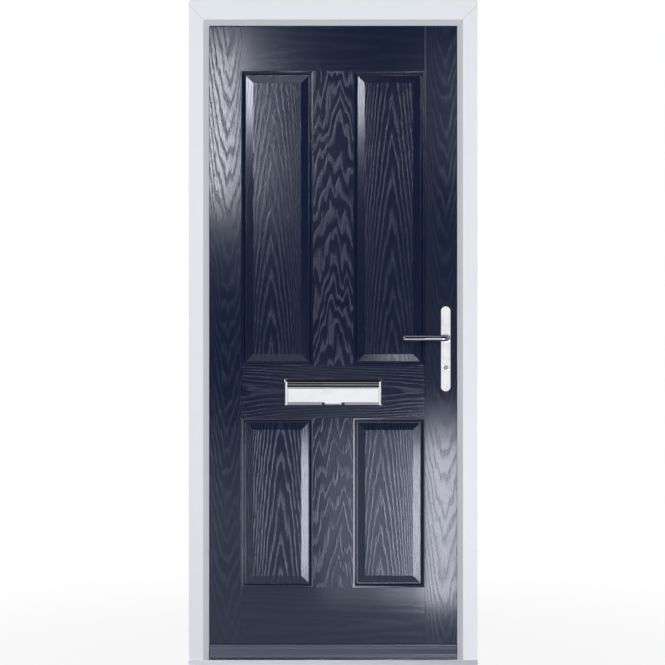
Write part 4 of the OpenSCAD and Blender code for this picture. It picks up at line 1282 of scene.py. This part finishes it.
@dataclass
class WeatherBar:
    """The bar at the leaf's foot that throws rain off."""

    half_w: float = 0.3855
    foot_z: float = 0.034
    top_z: float = 0.0745
    nose_y: float = -0.0305
    back_y: float = -0.0115
    nose_top: float = 0.047
    slope_top: float = 0.0708
    lip_y: float = -0.0155
    drip_y: Span = (-0.0265, -0.0225)
    drip_d: float = 0.0025
    edge_w: float = 0.0009
    beads: Outline = ((-0.0194, 0.0645), (-0.0301, 0.0415))
    bead_r: float = 0.0016
    finish: BeadedPaint = BeadedPaint("navy_beaded")

    def build(self) -> None:
        """Draws the bar's section out of a block, rounds its edges, lays its two beads and dresses it."""
        bar = Workpiece.block("weather_bar_profile", (-self.half_w, self.nose_y, self.foot_z),
                              (self.half_w, self.back_y, self.top_z))
        bar.cut([(0.0, 0.0, self.nose_top), (0.0, 0.0, self.slope_top)], (0.0, 0.0, 1.0))
        bar.on_points(lambda co: co.y < self.nose_y + MM and co.z > self.slope_top - MM,
                      Workpiece.moved((0.0, self.lip_y - self.nose_y, 0.0)))
        bar.cut([(0.0, y, 0.0) for y in self.drip_y], (0.0, 1.0, 0.0),
                lambda middle, facing: facing.z < -SQUARE_ON)
        front, back = self.drip_y
        bar.on_faces(lambda middle, facing: facing.z < -SQUARE_ON and front < middle.y < back,
                     Workpiece.drawn((0.0, 0.0, self.drip_d)))
        bar.soften(self.edge_w)
        for y, z in self.beads:
            bead = Workpiece.rod("bar_bead", (0.0, y, z), self.bead_r, 2 * self.half_w - MM)
            bead.shade()
            bar.join(bead)
        bar.place("leaf", "leaf_navy", self.finish, "weather_bar")


@dataclass
class LeverHandles:
    """The lever handles on both faces of the leaf, each on its long backplate.

    The steps of the crown, of a turned rim and of the grip's end are in millimetres inwards and outwards,
    a rim's as shares of its edge.
    """

    x: float = 0.352
    spindle_z: float = 1.033
    face_y: float = -0.0115
    mid_y: float = 0.0105
    plate_w: float = 0.031
    plate_z: Span = (0.867, 1.133)
    plate_side: float = 0.0068
    end_share: float = 0.96
    end_segments: int = 14
    crown: Outline = ((0.12, 0.80), (0.20, 0.70), (0.30, 0.45), (0.45, 0.25), (0.60, 0.0))
    boss_r: float = 0.014
    boss_h: float = 6.0
    cylinder_z: float = 0.941
    cylinder_r: float = 0.0092
    cylinder_h: float = 1.4
    rim_edge: float = 1.6
    rim_edge_share: float = 0.5
    rim_steps: Outline = ((0.15, 0.45), (0.35, 0.35), (0.60, 0.20))
    plate_angle: float = 28.0
    neck_r: float = 0.010
    neck_y: float = -0.0255
    neck_sides: int = 36
    elbow_r: float = 0.015
    elbow_steps: int = 10
    grip_y: float = -0.0615
    grip_end: float = 0.216
    end_run: float = 0.005
    end_steps: Outline = ((0.5, 1.9), (0.9, 1.4), (1.5, 1.0), (2.2, 0.6), (2.0, 0.1))
    lever_angle: float = 40.0
    finish: BrightPlate = BrightPlate("bright_plate")
    # Painted shade: the grip's metal is a far darker copy of the bright plate's, standing in for the dark
    # door it mirrors.
    grip_finish: ShadedGripPlate = ShadedGripPlate("bright_grip", (0.28, 0.29, 0.33, 1.0), (0.24, 0.25, 0.29, 1.0))

    def build(self) -> None:
        """Models one backplate and one lever, mirrors both to the inner face and dresses them."""
        plate = self._backplate()
        lever = self._lever()
        inner_plate = plate.mirrored("inner_handle_plate", self.mid_y)
        inner_lever = lever.mirrored("inner_handle_lever", self.mid_y)
        for piece, node in ((plate, "outer_backplate"), (inner_plate, "inner_backplate")):
            piece.place("leaf", "bright_chrome", self.finish, node)
        for piece, node in ((lever, "outer_lever"), (inner_lever, "inner_lever")):
            piece.place("lever", "bright_chrome", self.grip_finish, node)

    def _backplate(self) -> Workpiece:
        """Models the backplate.

        Returns:
            A plate with full round ends, a crowned face, the lever's boss and the cylinder's rim.
        """
        half = self.plate_w / 2
        low, high = self.plate_z
        plate = Workpiece.sheet("outer_handle_plate", (self.x - half, low), (self.x + half, high),
                                self.face_y)
        plate.on_points(lambda co: True, lambda: bpy.ops.mesh.bevel(
            offset=half * self.end_share, segments=self.end_segments, affect="VERTICES"))
        plate.on_faces(every_face, Workpiece.drawn((0.0, -self.plate_side, 0.0)),
                       *[Workpiece.inset(*step) for step in self.crown])
        plate.cap(self.face_y)
        plate.close_up()
        rim = self._turned_rim("cylinder_rim", self.cylinder_z, self.cylinder_r, self.cylinder_h)
        boss = self._turned_rim("lever_boss", self.spindle_z, self.boss_r, self.boss_h)
        plate.join(boss, rim)
        plate.close_up()
        plate.shade(self.plate_angle)
        return plate

    def _turned_rim(self, name: str, z: float, radius: float, height: float) -> Workpiece:
        """Models a low turned disc with a rounded edge on the plate's face.

        Args:
            name: Its name.
            z: Height of its middle.
            radius: Its radius.
            height: Millimetres that it stands out of the plate.

        Returns:
            The disc.
        """
        crown_h = sum(up for _, up in self.crown)
        edge = min(self.rim_edge, height * self.rim_edge_share)
        disc = Workpiece.disc(name, (self.x, self.face_y - self.plate_side, z), radius)
        disc.on_faces(every_face, Workpiece.drawn((0.0, -(crown_h + height - edge) * MM, 0.0)),
                      *[Workpiece.inset(edge * inwards, edge * up) for inwards, up in self.rim_steps])
        return disc

    def _lever(self) -> Workpiece:
        """Models the round lever.

        Returns:
            A neck, a swept elbow and a grip with a rounded end.
        """
        lever = Workpiece.disc("outer_handle_lever", (self.x, self.neck_y, self.spindle_z), self.neck_r,
                               self.neck_sides)
        bend_x = self.x - self.elbow_r
        bend_y = self.grip_y + self.elbow_r
        lever.on_faces(
            every_face,
            Workpiece.drawn((0.0, bend_y - self.neck_y, 0.0)),
            lambda: bpy.ops.mesh.spin(steps=self.elbow_steps, angle=QUARTER_TURN,
                                      center=(bend_x, bend_y, self.spindle_z), axis=(0.0, 0.0, 1.0)),
            Workpiece.drawn((self.grip_end + self.end_run - bend_x, 0.0, 0.0)),
            *[Workpiece.inset(*step) for step in self.end_steps])
        lever.cap(self.neck_y)
        lever.close_up()
        lever.shade(self.lever_angle)
        return lever


@dataclass
class LetterPlate:
    """The letter plate's frame and sprung flap on both faces of the leaf."""

    half_w: float = 0.1525
    foot_z: float = 0.824
    top_z: float = 0.906
    face_y: float = -0.0115
    mid_y: float = 0.0105
    base_y: float = -0.0165
    base_lap: float = 0.001
    base_rise: float = 0.004
    rim_y: float = -0.0215
    slot_half_w: float = 0.128
    slot_z: Span = (0.8358, 0.8698)
    end_y: float = -0.0230
    end_w: float = 0.009
    end_top: float = 0.8975
    end_edge: float = 0.0007
    strip_h: float = 0.0085
    strip_rise: float = 0.00025
    strip_rake: float = 0.0020
    strip_edge: float = 0.0012
    strip_gap: float = 0.0355
    hood_y: float = -0.0204
    hood_h: float = 0.027
    hood_in: float = 0.0005
    hood_rake: float = 0.0058
    hood_edge: float = 0.0009
    rib_z: Span = (0.8885, 0.8952)
    rib_h: float = 0.0024
    rib_edge: float = 0.0003
    flap_half: float = 0.1415
    flap_z: Span = (0.8335, 0.8775)
    flap_y: Span = (-0.0216, -0.0188)
    flap_edge: float = 0.0006
    axis_y: float = -0.0196
    axis_z: float = 0.8759
    knuckle_r: float = 0.0022
    knuckle_edge: float = 0.0005
    knuckle_angle: float = 60.0
    lip_half: float = 0.0265
    lip_z: float = 0.825
    lip_in: float = 0.0005
    lip_lap: float = 0.002
    lip_edge: float = 0.0007
    smooth_angle: float = 28.0
    finish: BrightPlate = BrightPlate("bright_plate")
    frame_finish: ShadedStripPlate = ShadedStripPlate("bright_letter_frame")

    def build(self) -> None:
        """Models one frame and one flap, mirrors both to the inner face and dresses them."""
        plate = self._frame()
        flap = self._flap()
        inner_plate = plate.mirrored("inner_letter_frame", self.mid_y)
        inner_flap = flap.mirrored("inner_letter_flap", self.mid_y)
        for piece, node in ((plate, "letter_outer_frame"), (inner_plate, "letter_inner_frame")):
            piece.place("leaf", "bright_chrome", self.frame_finish, node)
        for piece, node in ((flap, "outer_flap"), (inner_flap, "inner_flap")):
            piece.place(node, "bright_chrome", self.finish, node)

    def _frame(self) -> Workpiece:
        """Models the frame.

        Returns:
            The base with its opening, two end bars, the foot strips and the ribbed hood.
        """
        half = self.half_w - self.base_lap
        base = Workpiece.block("outer_letter_frame",
                               (-half, self.base_y, self.foot_z + self.strip_h - self.base_lap),
                               (half, self.face_y, self.top_z - self.hood_h + self.base_rise))
        base.cut([(side * self.slot_half_w, 0.0, 0.0) for side in (-1, 1)], (1.0, 0.0, 0.0))
        base.cut([(0.0, 0.0, z) for z in self.slot_z], (0.0, 0.0, 1.0))
        base.on_faces(lambda middle, facing: abs(facing.y) > SQUARE_ON and abs(middle.x) < self.slot_half_w
                      and self.slot_z[0] < middle.z < self.slot_z[1],
                      lambda: bpy.ops.mesh.bridge_edge_loops())
        parts = []
        for side in (-1, 1):
            parts += [self._end_bar(side), self._foot_strip(side)]
        base.join(*parts, self._hood())
        base.close_up()
        base.shade(self.smooth_angle)
        return base

    def _end_bar(self, side: int) -> Workpiece:
        """Models the bar at one end.

        Args:
            side: -1 for the left end and 1 for the right one.

        Returns:
            The bar.
        """
        left, right = sorted((side * (self.half_w - self.end_w), side * self.half_w))
        bar = Workpiece.block("end_bar", (left, self.end_y, self.foot_z), (right, self.face_y, self.end_top))
        bar.soften(self.end_edge)
        return bar

    def _foot_strip(self, side: int) -> Workpiece:
        """Models the raked strip below the flap, from the finger gap to one end bar.

        Args:
            side: -1 for the left strip and 1 for the right one.

        Returns:
            The strip.
        """
        left, right = sorted((side * self.strip_gap, side * (self.half_w - self.end_w + self.base_lap)))
        strip = Workpiece.block("foot_strip", (left, self.rim_y, self.foot_z + self.strip_rise),
                                (right, self.face_y, self.foot_z + self.strip_h))
        strip.on_points(lambda co: co.y < self.rim_y + NEAR and co.z < self.foot_z + MM,
                        Workpiece.moved((0.0, self.strip_rake, 0.0)))
        strip.soften(self.strip_edge)
        return strip

    def _hood(self) -> Workpiece:
        """Models the raked hood above the flap.

        Returns:
            The hood with its two flat ribs.
        """
        half = self.half_w - self.hood_in
        hood = Workpiece.block("letter_head", (-half, self.hood_y, self.top_z - self.hood_h),
                               (half, self.face_y, self.top_z))
        hood.on_points(lambda co: co.y < self.hood_y + NEAR and co.z > self.top_z - MM,
                       Workpiece.moved((0.0, self.hood_rake, 0.0)))
        hood.soften(self.hood_edge)
        for z in self.rib_z:
            rib = Workpiece.block("hood_rib", (-half + self.end_w, self.rim_y, z - self.rib_h / 2),
                                  (half - self.end_w, self.face_y, z + self.rib_h / 2))
            rib.soften(self.rib_edge, 2)
            hood.join(rib)
        return hood

    def _flap(self) -> Workpiece:
        """Models the flap.

        Returns:
            A flat plate with its rolled knuckle behind and its finger lip below.
        """
        low, high = self.flap_z
        front, back = self.flap_y
        half = self.flap_half
        flap = Workpiece.block("outer_letter_flap", (-half, front, low), (half, back, high))
        flap.soften(self.flap_edge)
        knuckle = Workpiece.rod("knuckle", (0.0, self.axis_y, self.axis_z), self.knuckle_r, 2 * half)
        knuckle.soften(self.knuckle_edge, 2, self.knuckle_angle)
        lip = Workpiece.block("finger_lip", (-self.lip_half, front + self.lip_in, self.lip_z),
                              (self.lip_half, back, low + self.lip_lap))
        lip.soften(self.lip_edge)
        flap.join(knuckle, lip)
        flap.close_up()
        flap.shade(self.smooth_angle)
        return flap


@dataclass
class Solids:
    """The solids that show as they are, dressed by their material slots, or by name where one is special."""

    finishes: dict[str, Finish] = field(default_factory=lambda: {
        "frame_white": WhiteProfile("white_profile"),
        "threshold_aluminium": DrawnMetal("mill_aluminium", (0.80, 0.81, 0.83, 1.0), (0.66, 0.67, 0.70, 1.0),
                                          dull=0.28),
        "seal_rubber": Moulded("black_gasket", (0.012, 0.012, 0.013, 1.0), (0.030, 0.030, 0.032, 1.0),
                               dull=0.55, scale=22.0, relief=(0.00008, 0.6)),
        "leaf_navy": PlainPaint("navy_plain"),
        "foam": Moulded("rigid_foam", (0.78, 0.71, 0.50, 1.0), (0.86, 0.81, 0.64, 1.0),
                        dull=0.75, scale=30.0, relief=(0.00025, 0.6)),
        "timber": PlanedTimber("planed_timber"),
        "bright_chrome": BrightPlate("bright_plate"),
        "bright_steel": DrawnMetal("zinc_steel", (0.62, 0.64, 0.66, 1.0), (0.50, 0.51, 0.53, 1.0),
                                   dull=0.26, upright=True),
        "sleeve_plastic": Moulded("black_sleeve", (0.014, 0.014, 0.016, 1.0), (0.028, 0.028, 0.030, 1.0),
                                  dull=0.42, scale=18.0, relief=(0.00005, 0.6))})
    special: dict[str, Finish] = field(default_factory=lambda: {
        # Painted shade: the plug's metal is darkened to stand in for the shade in the keyhole.
        "cylinder_plug": DrawnMetal("shaded_plug", (0.20, 0.19, 0.18, 1.0), (0.12, 0.12, 0.11, 1.0),
                                    dull=0.24)})

    def dress(self, frame: dict) -> None:
        """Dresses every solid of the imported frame.
        """
        for part in frame["record"]["subparts"]:
            finish = self.special.get(part["node"], self.finishes[part["material_slot"]])
            finish.dress(frame["nodes"][part["node"]])


class Reach(Enum):
    """What a lamp lights: all of a surface's light, its dull part alone or its gloss alone."""

    ALL = (True, True)
    DULL = (True, False)
    GLOSS = (False, True)


@dataclass(frozen=True)
class Lamp:
    """One soft lamp: its middle, its aim, its size, its power, its throw in degrees, its tint and reach."""

    name: str
    place: Point
    aim: Point
    size: Span
    power: float
    spread: float = 180.0
    tint: Point = COOL_LIGHT
    reach: Reach = Reach.GLOSS


@dataclass
class Studio:
    """Floor, white surround, soft lamps and the camera that faces the door.

    A fade is where it begins and ends, then its first and its last level.
    """

    camera_place: Point = (-0.002, -5.535, 1.051)
    lens: float = 95.5
    sensor_w: float = 36.0
    floor_half: float = 12.0
    floor_tones: tuple[Colour, Colour] = ((0.34, 0.34, 0.35, 1.0), (0.38, 0.38, 0.39, 1.0))
    floor_scale: float = 1.4
    floor_dull: float = 0.85
    floor_gloss: float = 0.1
    white_fade: Fade = (0.6, 2.6, 0.90, 1.0)
    mirrored_fade: Fade = (1.0, 2.4, 1.0, 0.50)
    mirrored_tint: Colour = (0.87, 0.90, 1.0, 1.0)
    mirrored_glow: float = 1.08
    behind_fade: Fade = (-0.35, 0.15, 0.03, 0.72)
    above_fade: Fade = (0.60, 0.90, 0.0, 0.6)
    lamps: tuple[Lamp, ...] = (
        Lamp("front_fill", (0.1, -6.2, 2.0), (0.0, 0.0, 1.0), (2.2, 1.6), 300.0,
             tint=PLAIN_LIGHT, reach=Reach.DULL),
        Lamp("upper_left_box", (-0.80, -6.4, 2.47), (-0.36, 0.0, 1.7), (0.24, 1.10), 30.0),
        Lamp("lower_right_box", (0.42, -1.2, 0.320), (0.12, 0.0, 0.345), (0.15, 0.61), 0.70, 62.0),
        Lamp("lower_right_fade", (0.42, -1.2, 0.662), (0.12, 0.0, 0.687), (0.15, 0.076), 0.044, 62.0),
        Lamp("lower_right_haze", (0.42, -1.2, 0.738), (0.12, 0.0, 0.763), (0.15, 0.076), 0.015, 62.0),
        Lamp("left_side_box", (-2.15, -3.0, 2.50), (-0.2, 0.0, 1.6), (0.9, 0.72), 50.0),
        Lamp("right_side_box", (1.09, -1.5, 0.30), (0.1, 0.0, 0.45), (0.84, 0.58), 24.0),
        Lamp("upper_card", (-0.45, -3.0, 4.40), (-0.2, 0.0, 1.85), (0.9, 0.7), 5.0),
        Lamp("floor_card", (0.290, -1.55, 0.02), (0.290, -1.55, 1.0), (0.175, 0.30), 1.15),
        Lamp("lower_left_rim", (-0.66, -1.2, 0.42), (-0.26, 0.0, 0.5), (0.22, 0.66), 0.11, 23.0),
        Lamp("upper_right_rim", (0.66, -1.2, 1.87), (0.35, 0.0, 1.72), (0.22, 0.55), 0.08, 23.0),
        Lamp("upper_right_card", (0.76, -6.4, 2.60), (0.36, 0.0, 1.80), (0.26, 0.80), 0.60),
        Lamp("lower_card", (0.16, -1.2, 0.36), (0.13, 0.0, 0.47), (0.40, 0.66), 0.084, 44.0),
        Lamp("plate_card", (0.76, -6.4, 0.938), (0.352, 0.0, 1.0), (0.13, 0.68), 0.265, tint=PLAIN_LIGHT),
        Lamp("letter_card", (0.0, -6.4, 0.635), (0.0, 0.0, 0.86), (0.72, 0.25), 0.53, tint=PLAIN_LIGHT),
        Lamp("inside_fill", (-0.4, 4.6, 3.0), (0.0, 0.0, 1.0), (3.0, 2.4), 60.0,
             tint=PLAIN_LIGHT, reach=Reach.ALL))

    def build(self) -> None:
        """Sets the stage, the light and the camera."""
        self._floor()
        self._surround()
        for lamp in self.lamps:
            self._hang(lamp)
        self._camera()
        bpy.context.scene.view_settings.view_transform = "Standard"

    def _floor(self) -> None:
        """Lays the pale floor."""
        bpy.ops.object.select_all(action="DESELECT")
        bpy.ops.mesh.primitive_plane_add(size=2 * self.floor_half, location=(0.0, 0.0, 0.0))
        floor = bpy.context.active_object
        floor.name = "studio_floor"
        paint = bpy.data.materials.new("pale_floor")
        self._paint_floor(PaintDesk(paint))
        floor.data.materials.append(paint)

    def _paint_floor(self, desk: PaintDesk) -> None:
        """Lays a floor that reads white to the camera and in mirrors and keeps the shadow.

        Args:
            desk: The floor material's desk.
        """
        desk.set("Roughness", self.floor_dull)
        desk.set("Specular IOR Level", self.floor_gloss)
        desk.set("Base Color", desk.tint(desk.noise(desk.place, self.floor_scale), *self.floor_tones))
        length = desk.add("ShaderNodeVectorMath", operation="LENGTH")
        desk.put(length.inputs[0], desk.place)
        away = length.outputs["Value"]
        path = desk.add("ShaderNodeLightPath").outputs
        direct = path["Is Camera Ray"]
        mirrored = desk.math("ADD", path["Is Glossy Ray"], path["Is Transmission Ray"], clamp=True)
        seen = desk.math("MULTIPLY_ADD", mirrored, desk.ramp(away, *self.mirrored_fade), direct, clamp=True)
        glow = desk.feed(desk.add("ShaderNodeEmission"), {
            "Color": desk.tint(direct, self.mirrored_tint, WHITE),
            "Strength": desk.ramp(direct, 0.0, 1.0, self.mirrored_glow, 1.0)})
        blend = desk.add("ShaderNodeMixShader")
        share = desk.math("MULTIPLY", seen, desk.ramp(away, *self.white_fade))
        for socket, value in zip(blend.inputs, (share, desk.shader.outputs[0], glow[0])):
            desk.put(socket, value)
        desk.put(desk.tree.nodes["Material Output"].inputs["Surface"], blend.outputs[0])

    def _surround(self) -> None:
        """Lights the world softly, white to the camera, with a dimmer side in front of the door."""
        world = bpy.data.worlds.new("studio_surround")
        world.use_nodes = True
        bpy.context.scene.world = world
        desk = NodeDesk(world.node_tree)
        _, inwards, up = desk.split(desk.add("ShaderNodeTexCoord").outputs["Generated"])
        around = desk.math("MAXIMUM", desk.ramp(inwards, *self.behind_fade), desk.ramp(up, *self.above_fade))
        direct = desk.add("ShaderNodeLightPath").outputs["Is Camera Ray"]
        strength = desk.math("MAXIMUM", direct, around)
        desk.feed(world.node_tree.nodes["Background"], {"Color": WHITE, "Strength": strength})

    @staticmethod
    def _hang(lamp: Lamp) -> None:
        """Hangs one soft lamp and turns it towards its aim.

        Args:
            lamp: The lamp.
        """
        data = bpy.data.lights.new(lamp.name, "AREA")
        data.shape = "RECTANGLE"
        data.size, data.size_y = lamp.size
        data.energy = lamp.power
        data.color = lamp.tint
        data.spread = math.radians(lamp.spread)
        obj = bpy.data.objects.new(lamp.name, data)
        obj.location = lamp.place
        obj.rotation_euler = (Vector(lamp.aim) - Vector(lamp.place)).to_track_quat("-Z", "Y").to_euler()
        obj.visible_camera = False
        obj.visible_diffuse, obj.visible_glossy = lamp.reach.value
        bpy.context.collection.objects.link(obj)

    def _camera(self) -> None:
        """Stands the camera square in front of the door."""
        data = bpy.data.cameras.new("front_camera")
        data.sensor_width = self.sensor_w
        data.lens = self.lens
        obj = bpy.data.objects.new("front_camera", data)
        obj.location = self.camera_place
        obj.rotation_euler = (QUARTER_TURN, 0.0, 0.0)
        bpy.context.collection.objects.link(obj)
        bpy.context.scene.camera = obj


def main() -> None:
    """Builds the door's pieces in order."""
    logging.basicConfig(level=logging.INFO, format="%(name)s: %(message)s")
    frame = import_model()
    Solids().dress(frame)
    LeafFaces().build()
    WeatherBar().build()
    LeverHandles().build()
    LetterPlate().build()
    Studio().build()


if __name__ == "__main__":
    main()
